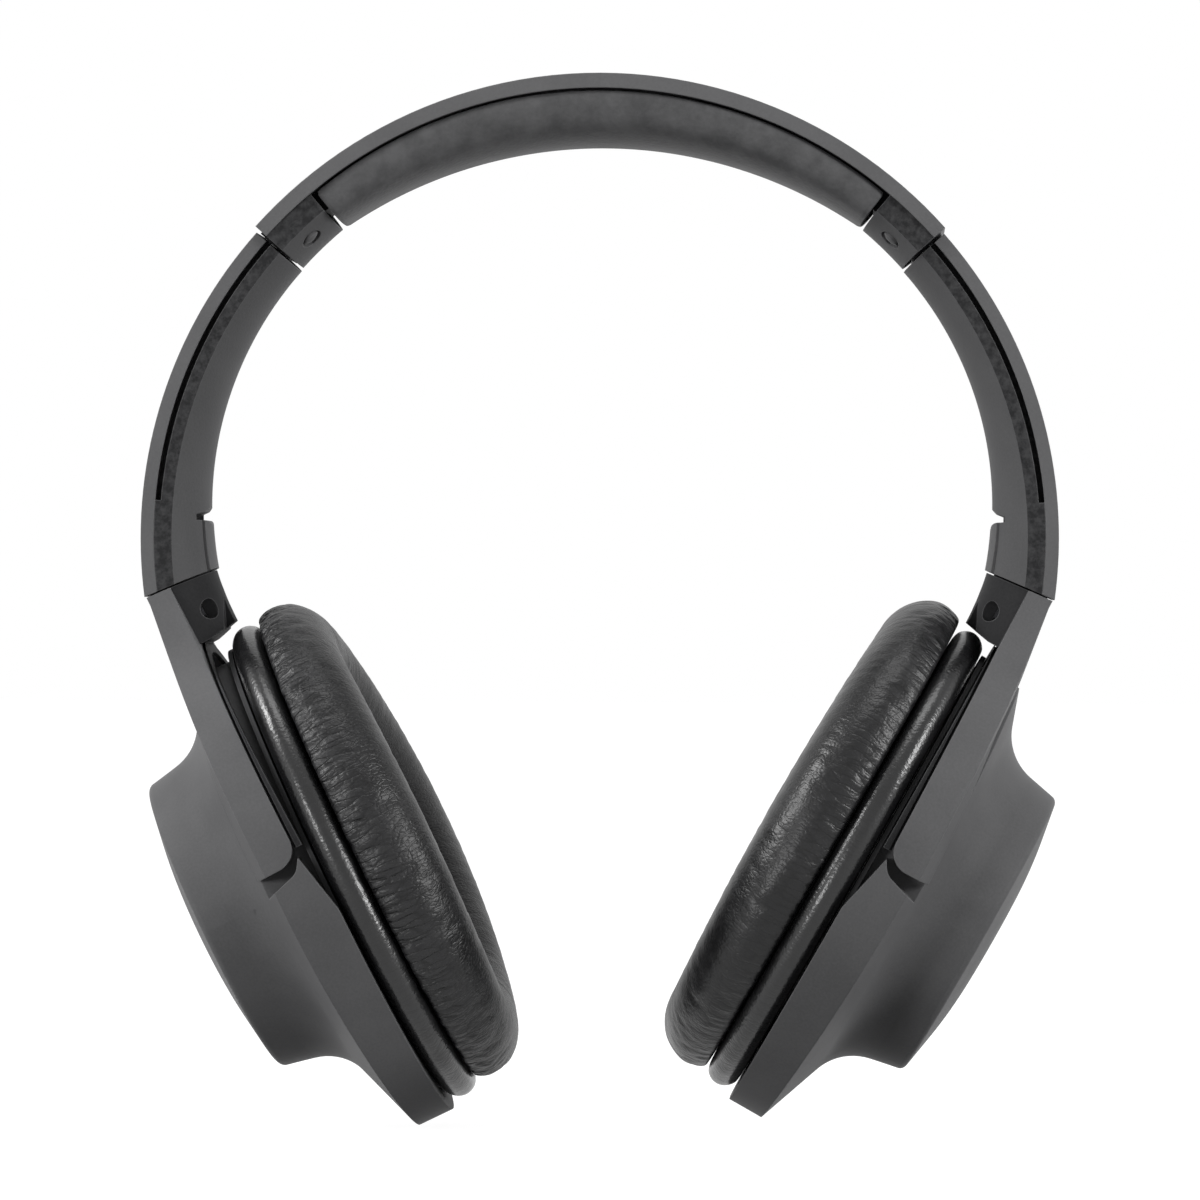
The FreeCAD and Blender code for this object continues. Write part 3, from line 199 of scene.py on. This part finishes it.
def gathered_leatherette(name, dark, light, rough, gloss_level, pucker, fine):
    """Polyurethane leatherette gathered at a seam: plump puckers, sharp creases, a soft gloss, painted
    shade in the creases and a painted highlight on the puckers.

    The pattern follows the ring: its attribute "gather" holds the place along and across it in
    millimetres, and "drawn" how strongly the skin is drawn together there.
    """
    material, tree = new_material(name)
    place = add(tree, "ShaderNodeAttribute", attribute_name="gather").outputs["Vector"]
    drawn = add(tree, "ShaderNodeAttribute", attribute_name="drawn").outputs["Fac"]
    stir = add(tree, "ShaderNodeTexNoise", {"Vector": place, "Scale": 0.35, "Detail": 2.0})
    shift = add(tree, "ShaderNodeVectorMath", {0: stir.outputs["Color"], "Scale": 0.6}, operation="SCALE")
    stirred = add(tree, "ShaderNodeVectorMath", {0: place, 1: shift}, operation="ADD")
    # puckers 1.3 mm wide and 6 mm long, creases between them; then finer ones of 0.7 by 1.6 mm
    cells = []
    for width, length, gap in ((1.3, 6.0, 0.15), (0.7, 1.6, 0.2)):
        scaled = add(tree, "ShaderNodeMapping",
                     {"Vector": stirred, "Scale": (1 / width, 1 / width, 1 / length)})
        border = add(tree, "ShaderNodeTexVoronoi", {"Vector": scaled, "Scale": 1.0},
                     feature="DISTANCE_TO_EDGE")
        cells.append(add(tree, "ShaderNodeMapRange", {"Value": border, "From Min": 0.0, "From Max": gap},
                         interpolation_type="SMOOTHSTEP"))
    grain = add(tree, "ShaderNodeTexVoronoi", {"Vector": place, "Scale": 1 / 0.55}, feature="F1")
    cloud = add(tree, "ShaderNodeTexNoise", {"Vector": place, "Scale": 1 / 9, "Detail": 3.0})
    # painted shade and highlight: the colour darkens in the creases and lightens on the puckers, more
    # where the skin is drawn together
    plump = add(tree, "ShaderNodeMath", {0: cells[0], 1: drawn}, operation="MULTIPLY")
    fine_crease_shade = add(tree, "ShaderNodeMath", {0: cells[1], 1: 0.35}, operation="MULTIPLY")
    tone = add(tree, "ShaderNodeMath", {0: plump, 1: fine_crease_shade}, operation="ADD")
    clouded = add(tree, "ShaderNodeMath", {0: tone, 1: cloud}, operation="ADD")
    share = add(tree, "ShaderNodeMapRange", {"Value": clouded, "From Min": 0.45, "From Max": 1.7})
    colour = add(tree, "ShaderNodeMix", {"Factor": share, "A": linear(dark), "B": linear(light)},
                 data_type="RGBA")
    pebbled = add(tree, "ShaderNodeBump",
                  {"Height": grain, "Strength": 1.0, "Distance": 0.035 * MM})
    thin = add(tree, "ShaderNodeBump", {"Height": cells[1], "Strength": 1.0, "Distance": fine * MM,
                                        "Normal": pebbled})
    deep = add(tree, "ShaderNodeBump", {"Height": plump, "Strength": 1.0, "Distance": pucker * MM,
                                        "Normal": thin})
    gloss = add(tree, "ShaderNodeMapRange", {"Value": cloud, "From Min": 0.3, "From Max": 0.7,
                                             "To Min": rough - 0.05, "To Max": rough + 0.05})
    shader = add(tree, "ShaderNodeBsdfPrincipled",
                 {"Base Color": colour, "Roughness": gloss, "Normal": deep, "IOR": 1.5,
                  "Specular IOR Level": gloss_level})
    add(tree, "ShaderNodeOutputMaterial", {"Surface": shader})
    return material


def plain_leatherette(name, dark, light, rough):
    """Matt polyurethane leatherette stretched over foam: fine pebbled grain, faint clouding."""
    material, tree = new_material(name)
    place = add(tree, "ShaderNodeTexCoord").outputs["Object"]
    # pebbles of 0.4 mm, drawn at 0.8 mm so that they show
    pebbles = add(tree, "ShaderNodeTexVoronoi", {"Vector": place, "Scale": 1 / (0.8 * MM)}, feature="F1")
    cloud = add(tree, "ShaderNodeTexNoise",
                {"Vector": place, "Scale": 1 / (5 * MM), "Detail": 5.0, "Roughness": 0.65})
    share = add(tree, "ShaderNodeMapRange", {"Value": cloud, "From Min": 0.36, "From Max": 0.64})
    colour = add(tree, "ShaderNodeMix", {"Factor": share, "A": linear(dark), "B": linear(light)},
                 data_type="RGBA")
    bumped = add(tree, "ShaderNodeBump", {"Height": pebbles, "Strength": 1.0, "Distance": 0.05 * MM})
    gloss = add(tree, "ShaderNodeMapRange", {"Value": cloud, "From Min": 0.3, "From Max": 0.7,
                                             "To Min": rough - 0.04, "To Max": rough + 0.04})
    shader = add(tree, "ShaderNodeBsdfPrincipled",
                 {"Base Color": colour, "Roughness": gloss, "Normal": bumped, "IOR": 1.5,
                  "Specular IOR Level": 0.15})
    add(tree, "ShaderNodeOutputMaterial", {"Surface": shader})
    return material


def turned_steel(name, colour, rough):
    """Blackened or plated steel, turned or stamped: fine lines, uneven tone."""
    material, tree = new_material(name)
    place = add(tree, "ShaderNodeTexCoord").outputs["Object"]
    lines = add(tree, "ShaderNodeTexNoise", {"Vector": place, "Scale": 1 / (0.4 * MM), "Detail": 4.0})
    gloss = add(tree, "ShaderNodeMapRange", {"Value": lines, "From Min": 0.3, "From Max": 0.7,
                                             "To Min": rough - 0.08, "To Max": rough + 0.08})
    bumped = add(tree, "ShaderNodeBump", {"Height": lines, "Strength": 1.0, "Distance": 0.01 * MM})
    shader = add(tree, "ShaderNodeBsdfPrincipled",
                 {"Base Color": linear(colour), "Metallic": 1.0, "Roughness": gloss, "Normal": bumped})
    add(tree, "ShaderNodeOutputMaterial", {"Surface": shader})
    return material


def knitted_mesh():
    """Polyester tricot over the driver: open diamonds of 0.9 mm pitch."""
    material, tree = new_material("knitted_polyester_mesh")
    place = add(tree, "ShaderNodeTexCoord").outputs["Object"]
    holes = add(tree, "ShaderNodeTexVoronoi", {"Vector": place, "Scale": 1 / (0.9 * MM)}, feature="F1")
    thread = add(tree, "ShaderNodeMapRange", {"Value": holes, "From Min": 0.25, "From Max": 0.55})
    colour = add(tree, "ShaderNodeMix",
                 {"Factor": thread, "A": linear("#060606"), "B": linear("#2a2a2b")}, data_type="RGBA")
    bumped = add(tree, "ShaderNodeBump", {"Height": thread, "Strength": 1.0, "Distance": 0.2 * MM})
    shader = add(tree, "ShaderNodeBsdfPrincipled",
                 {"Base Color": colour, "Roughness": 0.85, "Normal": bumped, "Sheen Weight": 0.3})
    add(tree, "ShaderNodeOutputMaterial", {"Surface": shader})
    return material


SHELL = moulded_abs("moulded_abs_charcoal", "#5f5f60", "#686869", 0.5, 0.45, 0.012)
SHELL_ERODED = moulded_abs("spark_eroded_abs_charcoal", "#5a5a5b", "#626263", 0.5, 0.45, 0.03,
                           "#333334", "#4c4c4d")
# the yoke's inner covers: the shell's charcoal ABS painted darker, as painted shade on their recessed,
# crowned faces
SHADED_SCREW_COVER = moulded_abs("charcoal_abs_painted_shade", "#2a2a2b", "#363637", 0.55, 0.5, 0.02)
STRIP = moulded_abs("semi_matt_abs_charcoal", "#6d6d6e", "#757576", 0.45, 0.45, 0.01)
CARRIER = moulded_abs("moulded_abs_dark_grey", "#3f3f40", "#49494a", 0.5, 0.5, 0.02)
INNER = moulded_abs("moulded_abs_black", "#101011", "#19191a", 0.5, 0.5, 0.02)
CUSHION_SKINS = {
    "right": gathered_leatherette("creased_pu_leatherette", "#0b0b0c", "#2c2c2d", 0.41, 0.3, 0.15, 0.035),
    "left": gathered_leatherette("smoother_pu_leatherette", "#0b0b0c", "#212122", 0.37, 0.32, 0.05, 0.018),
}
ROLL_SKIN = gathered_leatherette("tight_pu_leatherette", "#0a0a0b", "#1b1b1c", 0.29, 0.5, 0.02, 0.006)
PAD_SKIN = plain_leatherette("matt_pu_leatherette", "#525253", "#646465", 0.55)
STEEL = turned_steel("blackened_spring_steel", "#2c2c2e", 0.35)
ZINC = turned_steel("black_zinc_screw", "#2a2a2c", 0.35)
NICKEL = turned_steel("nickel_plated_magnet", "#b8b4aa", 0.25)
MESH = knitted_mesh()

FINISHES = {
    "headband_cover": STRIP, "headband_frame": INNER, "spring_band": STEEL, "end_cap": SHELL_ERODED,
    "end_cap_screws": SHELL, "arm_outer_cover": STRIP, "arm_inner_cover": SHELL_ERODED, "arm_tab": SHELL,
    "arm_screw": ZINC, "swivel_pin": ZINC, "yoke": SHELL, "yoke_inner_cover": SHADED_SCREW_COVER,
    "yoke_screws": ZINC, "pivot_pins": ZINC, "housing": SHELL, "baffle": CARRIER,
    "baffle_screws": ZINC, "driver_frame": INNER, "driver_magnet": NICKEL,
    "driver_diaphragm": INNER, "ear_cloth": MESH, "cushion_base": ROLL_SKIN,
    "cushion": ROLL_SKIN, "headband_pad": PAD_SKIN, "audio_socket": INNER, "circuit_board": INNER,
}


def finish_of(node):
    """The finish of a solid, the same on both sides."""
    for side in SIDES:
        if node.startswith(side + "_"):
            return FINISHES[node[len(side) + 1:]]
    return FINISHES[node]


for node_name, node_object in NODES.items():
    node_object.data.materials.clear()
    node_object.data.materials.append(finish_of(node_name))


# ---- Making pieces ----
def cup_frame(side):
    """Matrix from a cup's own millimetres, as it hangs, to the model's millimetres."""
    pivot = Vector(JOINTS["right_tilt"]["pos_m"]) / MM
    lean = Matrix.Rotation(REST_TILT[side] - CUP_TILT, 4, "Y")
    made = Matrix.Translation(pivot) @ lean @ Matrix.Translation((-PIVOT_DEPTH, 0, -PIVOT_HEIGHT))
    return made if side == "right" else Matrix.Scale(-1, 4, (1, 0, 0)) @ made


def to_object(name, form, place):
    """A mesh object from a form in millimetres: its place in its mesh, its faces outwards."""
    bmesh.ops.transform(form, matrix=Matrix.Scale(MM, 4) @ place, verts=form.verts)
    bmesh.ops.recalc_face_normals(form, faces=form.faces)
    for face in form.faces:
        face.smooth = True
    mesh = bpy.data.meshes.new(name)
    form.to_mesh(mesh)
    form.free()
    made = bpy.data.objects.new(name, mesh)
    bpy.context.scene.collection.objects.link(made)
    return made


def swell(made, pressure, tension, gather, cap_mm):
    """Blow the cover up as foam fills it: groups "held" stays, "gathered" has cloth to spare."""
    before = [vert.co.copy() for vert in made.data.vertices]
    cloth = made.modifiers.new("filling", "CLOTH")
    cloth.settings.quality = 6
    cloth.settings.mass = FILM_MASS
    cloth.settings.use_pressure = True
    cloth.settings.uniform_pressure_force = pressure
    cloth.settings.tension_stiffness = tension
    cloth.settings.compression_stiffness = tension
    cloth.settings.bending_stiffness = 0.005
    cloth.settings.effector_weights.gravity = 0
    cloth.settings.vertex_group_mass = "held"
    cloth.settings.vertex_group_shrink = "gathered"
    cloth.settings.shrink_max = -gather
    cloth.collision_settings.use_collision = False
    cloth.point_cache.frame_start = 1
    cloth.point_cache.frame_end = SWELL_FRAMES
    for step in range(1, SWELL_FRAMES + 1):
        bpy.context.scene.frame_set(step)
    swollen = bpy.data.meshes.new_from_object(made.evaluated_get(bpy.context.evaluated_depsgraph_get()))
    for vert, start in zip(swollen.vertices, before):
        move = vert.co - start
        if move.length > cap_mm * MM:
            vert.co = start + move.normalized() * cap_mm * MM
    made.modifiers.clear()
    made.data = swollen
    made.vertex_groups.clear()
    bpy.context.scene.frame_set(1)


def subdivide(made):
    """One level of subdivision, applied."""
    modifier = made.modifiers.new("smooth", "SUBSURF")
    modifier.levels = modifier.render_levels = 1
    smooth = bpy.data.meshes.new_from_object(made.evaluated_get(bpy.context.evaluated_depsgraph_get()))
    made.modifiers.clear()
    made.data = smooth


def settle(made, material, body, replaced):
    """Give a soft piece its finish, its body and what it stands for."""
    made.data.materials.clear()
    made.data.materials.append(material)
    for face in made.data.polygons:
        face.use_smooth = True
    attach(made, body)
    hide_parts(replaced)


def outline(form, points):
    """Closed run of edges through points, as geometry to spin."""
    verts = [form.verts.new(point) for point in points]
    return verts + [form.edges.new((verts[i - 1], verts[i])) for i in range(len(verts))]


def spun_ring(section, steps):
    """Closed section of (depth, radius) points spun about the cup's axis, and its pattern layers."""
    form = bmesh.new()
    geometry = outline(form, [(depth, 0, radius) for depth, radius in section])
    bmesh.ops.spin(form, geom=geometry, cent=(0, 0, 0), axis=(1, 0, 0),
                   angle=2 * math.pi, steps=steps, use_merge=True)
    return form, form.verts.layers.float_vector.new("gather"), form.verts.layers.float.new("drawn")


def on_ring(vert, section, lengths):
    """Where a vertex of a spun ring is: depth, radius, angle, run along the section, pattern place."""
    depth, radius = vert.co.x, math.hypot(vert.co.y, vert.co.z)
    angle = math.atan2(vert.co.y, vert.co.z)
    nearest = min(range(len(section)), key=lambda i: (section[i] - Vector((depth, radius))).length)
    across = lengths[nearest]
    pattern = (CUSHION_GIRTH * math.cos(angle), CUSHION_GIRTH * math.sin(angle), across)
    return depth, radius, angle, across, pattern


def oval_height(radius, outer):
    """Half height of the oval whose half width is radius, between the ear opening and the outside."""
    share = (radius - OPENING[0]) / (outer[0] - OPENING[0])
    return OPENING[1] + (outer[1] - OPENING[1]) * share


def curve_through(points, count):
    """Smooth closed run of count points through a few (depth, radius) points."""
    out = []
    size = len(points)
    for step in range(count):
        place = step * size / count
        i, u = int(place), place - int(place)
        a, b, c, d = (Vector(points[(i + k - 1) % size]) for k in range(4))
        out.append(0.5 * (2 * b + (c - a) * u + (2 * a - 5 * b + 4 * c - d) * u * u
                          + (3 * b - a - 3 * c + d) * u ** 3))
    return out


def run_lengths(section):
    """Distance of each point of a section from its first, along the section."""
    lengths = [0.0]
    for before, after in zip(section, section[1:]):
        lengths.append(lengths[-1] + (after - before).length)
    return lengths


def around(angle, across, along_mm, across_mm, seed):
    """Place in a noise field that closes round the ring, for blotches of the given sizes."""
    radius = CUSHION_GIRTH / along_mm
    return Vector((radius * math.cos(angle) + seed, radius * math.sin(angle), across / across_mm))


# from the outer seam round the outside, over the face and down the ear opening, then back below
CUSHION_SECTION = [
    (6.4, 38.6), (6.9, 39.9), (8.4, 40.9), (10.8, 41.2), (13.4, 40.6), (15.7, 38.9), (17.8, 35.6),
    (18.9, 31.0), (18.4, 26.6), (16.0, 22.9), (12.8, 21.1), (9.2, 20.8), (6.7, 22.2), (6.35, 27.0),
    (6.35, 34.0),
]


def cushion(side, seed, gather, tension, pressure, creases):
    """Oval ring of foam in leatherette, gathered unevenly along its outer seam."""
    half_height, rise, bow_radius, crown = CUSHION_FORM[side]
    section = curve_through(CUSHION_SECTION, CUSHION_STEPS[0])
    lengths = run_lengths(section)
    form, gather_layer, drawn_layer = spun_ring(section, CUSHION_STEPS[1])
    held, slack = [], {}
    form.verts.index_update()
    for vert in form.verts:
        depth, radius, angle, across, vert[gather_layer] = on_ring(vert, section, lengths)
        uneven = 0.6 + 0.4 * max(-1, min(1, 2.2 * noise.noise(around(angle, 0, 9, 1, seed))))
        if across == 0 or depth < CUSHION_NEAR + 0.5:
            held.append(vert.index)
        slack[vert.index] = (1 - ease(1.5, 15, across)) * uneven
        vert[drawn_layer] = (1 - ease(4, 11, across)) * (0.45 + 0.55 * uneven)
        height = oval_height(radius, (CUSHION_HALF_WIDTH, half_height))
        bow = crown - (height * math.cos(angle)) ** 2 / (2 * bow_radius)
        depth += bow * ease(CUSHION_NEAR, CUSHION_FAR, depth)
        if depth > CUSHION_NEAR + 0.6:
            depth += 0.12 * noise.noise(around(angle, across, 1.4, 4, seed))
        vert.co = (depth, radius * math.sin(angle), height * math.cos(angle) + rise)
    made = to_object(f"{side}_ear_cushion", form, cup_frame(side))
    made.vertex_groups.new(name="held").add(held, 1.0, "REPLACE")
    spare = made.vertex_groups.new(name="gathered")
    for index, weight in slack.items():
        if weight > 0:
            spare.add([index], weight, "REPLACE")
    swell(made, pressure, tension, gather, 1.6)
    subdivide(made)
    crease(made, seed, creases)
    settle(made, CUSHION_SKINS[side], f"{side}_cup", f"{side}_cushion")


def crease(made, seed, depth_mm):
    """Press creases into a gathered ring: deep between the puckers at the seam, shallow beyond."""
    form = bmesh.new()
    form.from_mesh(made.data)
    gather_layer = form.verts.layers.float_vector["gather"]
    form.normal_update()
    moves = []
    for vert in form.verts:
        place = vert[gather_layer]
        across = place.z
        puckers, _ = noise.voronoi(Vector((place.x / 2.2 + seed, place.y / 2.2, across / 11)))
        folds, _ = noise.voronoi(Vector((place.x / 6 + seed, place.y / 6, across / 9)))
        near = (1 - ease(3.0, 8.5, across)) * ease(-0.2, 0.8, across)
        wide = (1 - ease(7.0, 16.0, across)) * ease(-0.2, 2.0, across)
        push = near * (ease(0, 0.4, puckers[1] - puckers[0]) - 0.6)
        push += 0.5 * wide * (ease(0, 0.5, folds[1] - folds[0]) - 0.6)
        moves.append(push)
    for vert, push in zip(form.verts, moves):
        vert.co += vert.normal * push * depth_mm * MM
    form.to_mesh(made.data)
    form.free()


ROLL_SECTION = [
    (0.35, 37.6), (0.7, 39.2), (1.9, 40.5), (3.4, 40.9), (4.9, 40.3), (5.9, 38.8), (6.2, 35.5),
    (6.1, 26.0), (5.6, 21.4), (3.2, 20.8), (0.8, 21.4), (0.3, 26.0), (0.3, 32.0),
]


def base_roll(side, seed):
    """Slim padded ring between cushion and cup, pulled over its carrier."""
    section = curve_through(ROLL_SECTION, ROLL_STEPS[0])
    lengths = run_lengths(section)
    form, gather_layer, drawn_layer = spun_ring(section, ROLL_STEPS[1])
    for vert in form.verts:
        depth, radius, angle, _, vert[gather_layer] = on_ring(vert, section, lengths)
        low = ease(0.1, 0.8, -math.cos(angle))
        vert[drawn_layer] = 0.3 + 0.7 * low
        outside = ease(34, 39, radius)
        radius += outside * 0.25 * noise.noise(around(angle, depth, 26, 20, seed))
        radius += outside * (0.05 + 0.15 * low) * noise.noise(around(angle, depth, 5, 8, seed + 2))
        height = oval_height(radius, BASE_ROLL)
        vert.co = (depth, radius * math.sin(angle), height * math.cos(angle))
    made = to_object(f"{side}_cushion_roll", form, cup_frame(side))
    settle(made, ROLL_SKIN, f"{side}_cup", f"{side}_cushion_base")


# half of the pad's section at the crown, from the pocket's edge round to the middle: (side, radius)
PAD_SECTION = [
    (0, PAD_FLOOR), (PAD_POCKET, PAD_FLOOR), (PAD_POCKET, PAD_TOP), (14.6, PAD_TOP), (15.25, 78.5),
    (15.35, 76.6), (15.3, 74.8), (14.9, 73.4), (13.8, 72.1), (11.4, 70.9), (7.8, 70.0), (3.9, 69.65),
    (0, PAD_CREST),
]


def band_half_width(angle):
    """Half width of the headband's cover, which narrows towards its ends."""
    share = math.sin(abs(angle)) / math.sin(BAND_ANGLE)
    return BAND_HALF_WIDTH[0] - (BAND_HALF_WIDTH[0] - BAND_HALF_WIDTH[1]) * share * share


def headband_pad():
    """Long pad below the cover: crowned across, thinner towards its ends, soft corners."""
    run = PAD_SECTION + [(-side, radius) for side, radius in reversed(PAD_SECTION[1:-1])]
    form = bmesh.new()
    geometry = outline(form, [(0, side, radius) for side, radius in run])
    bmesh.ops.spin(form, geom=geometry, cent=(0, 0, 0), axis=(0, 1, 0),
                   angle=2 * PAD_ANGLE, steps=PAD_STEPS)
    bmesh.ops.rotate(form, cent=(0, 0, 0), matrix=Matrix.Rotation(-PAD_ANGLE, 3, "Y"), verts=form.verts)
    open_edges = [edge for edge in form.edges if edge.is_boundary]
    bmesh.ops.holes_fill(form, edges=open_edges, sides=0)
    corners = [edge for edge in open_edges
               if max(math.hypot(vert.co.x, vert.co.z) for vert in edge.verts) < PAD_TOP - 0.2]
    bmesh.ops.bevel(form, geom=corners, offset=0.8, segments=3, profile=0.5, affect="EDGES", material=-1)
    held = []
    form.verts.index_update()
    for vert in form.verts:
        radius, angle = math.hypot(vert.co.x, vert.co.z), math.atan2(vert.co.x, vert.co.z)
        if radius > PAD_FLOOR - 0.4 or abs(angle) > PAD_ANGLE - 0.03:
            held.append(vert.index)
        share = (angle / PAD_ANGLE) ** 2
        thinner = 1 - share * (PAD_END_CREST - PAD_CREST) / (PAD_FLOOR - PAD_CREST)
        if radius < PAD_FLOOR:
            radius = PAD_FLOOR - (PAD_FLOOR - radius) * thinner
        side = vert.co.y
        if abs(side) > PAD_POCKET + 0.1:
            side *= band_half_width(angle) / BAND_HALF_WIDTH[0]
        vert.co = (radius * math.sin(angle), side, radius * math.cos(angle))
    made = to_object("headband_cushion", form, Matrix.Translation(BAND_CENTRE))
    made.vertex_groups.new(name="held").add(held, 1.0, "REPLACE")
    made.vertex_groups.new(name="gathered")
    swell(made, 250, 40, 0.0, 0.7)
    subdivide(made)
    settle(made, PAD_SKIN, "headband", "headband_pad")


cushion("right", 2.0, 0.25, 80, 400, 0.3)
cushion("left", 31.0, 0.2, 30, 200, 0.14)
base_roll("right", 5.0)
base_roll("left", 11.0)
headband_pad()


# ---- Floor, light and camera ----
def seen_or_mirrored(tree):
    """1 on rays from the camera, from gloss and through glass; 0 on the rays that light the object."""
    path = add(tree, "ShaderNodeLightPath").outputs
    first = add(tree, "ShaderNodeMath", {0: path["Is Camera Ray"], 1: path["Is Glossy Ray"]},
                operation="MAXIMUM")
    return add(tree, "ShaderNodeMath", {0: first, 1: path["Is Transmission Ray"]}, operation="MAXIMUM")


def studio():
    """White surroundings that light the object only softly, and a white floor under it."""
    world = bpy.data.worlds.new("studio")
    bpy.context.scene.world = world
    world.use_nodes = True
    tree = world.node_tree
    tree.nodes.clear()
    light = add(tree, "ShaderNodeBackground", {"Color": (1, 1, 1, 1), "Strength": WORLD_LIGHT})
    white = add(tree, "ShaderNodeBackground", {"Color": (1, 1, 1, 1), "Strength": 1.0})
    mix = add(tree, "ShaderNodeMixShader", {0: seen_or_mirrored(tree), 1: light, 2: white})
    add(tree, "ShaderNodeOutputWorld", {"Surface": mix})

    form = bmesh.new()
    bmesh.ops.create_grid(form, x_segments=2, y_segments=2, size=FLOOR_HALF)
    low = CAD_BOX[0].z / MM - FLOOR_GAP
    bmesh.ops.transform(form, matrix=Matrix.Translation((0, 0, low)), verts=form.verts)
    floor = to_object("floor", form, Matrix.Identity(4))
    material, tree = new_material("white_paper_sweep")
    glow = add(tree, "ShaderNodeMath", {0: seen_or_mirrored(tree), 1: FLOOR_WHITE}, operation="MULTIPLY")
    shader = add(tree, "ShaderNodeBsdfPrincipled",
                 {"Base Color": linear("#6e6e6e"), "Roughness": 0.9, "Emission Color": (1, 1, 1, 1),
                  "Emission Strength": glow})
    add(tree, "ShaderNodeOutputMaterial", {"Surface": shader})
    floor.data.materials.append(material)


def softbox(name, place, size, power):
    """A large square lamp aimed at the object; place and size are in millimetres."""
    data = bpy.data.lights.new(name, "AREA")
    data.shape = "SQUARE"
    data.size = size * MM
    data.energy = power
    lamp = bpy.data.objects.new(name, data)
    bpy.context.scene.collection.objects.link(lamp)
    lamp.location = Vector(place) * MM
    lamp.rotation_mode = "QUATERNION"
    lamp.rotation_quaternion = (LAMP_AIM - Vector(place)).to_track_quat("-Z", "Y")


def camera():
    """The camera, looking level across the object."""
    data = bpy.data.cameras.new("camera")
    data.sensor_width = SENSOR
    data.lens = SENSOR * CAMERA_DISTANCE / FRAME_WIDTH
    data.clip_end = CLIP_END
    made = bpy.data.objects.new("camera", data)
    bpy.context.scene.collection.objects.link(made)
    back = Vector((math.sin(CAMERA_TURN), -math.cos(CAMERA_TURN), 0))
    across = Vector((math.cos(CAMERA_TURN), math.sin(CAMERA_TURN), 0))
    made.location = (back * CAMERA_DISTANCE + across * CAMERA_SIDE + Vector((0, 0, CAMERA_HEIGHT))) * MM
    made.rotation_mode = "QUATERNION"
    made.rotation_quaternion = (-back).to_track_quat("-Z", "Y") @ Quaternion((0, 0, 1), CAMERA_ROLL)
    bpy.context.scene.camera = made


studio()
softbox("left", (-900, -150, 520), 320, 8)
softbox("right", (910, -320, 180), 320, 6.5)
softbox("left_of_the_camera", (-780, -900, -30), 260, 4.5)
softbox("above", (0, -60, 1000), 600, 4.7)
camera()
bpy.context.scene.view_settings.view_transform = "Standard"
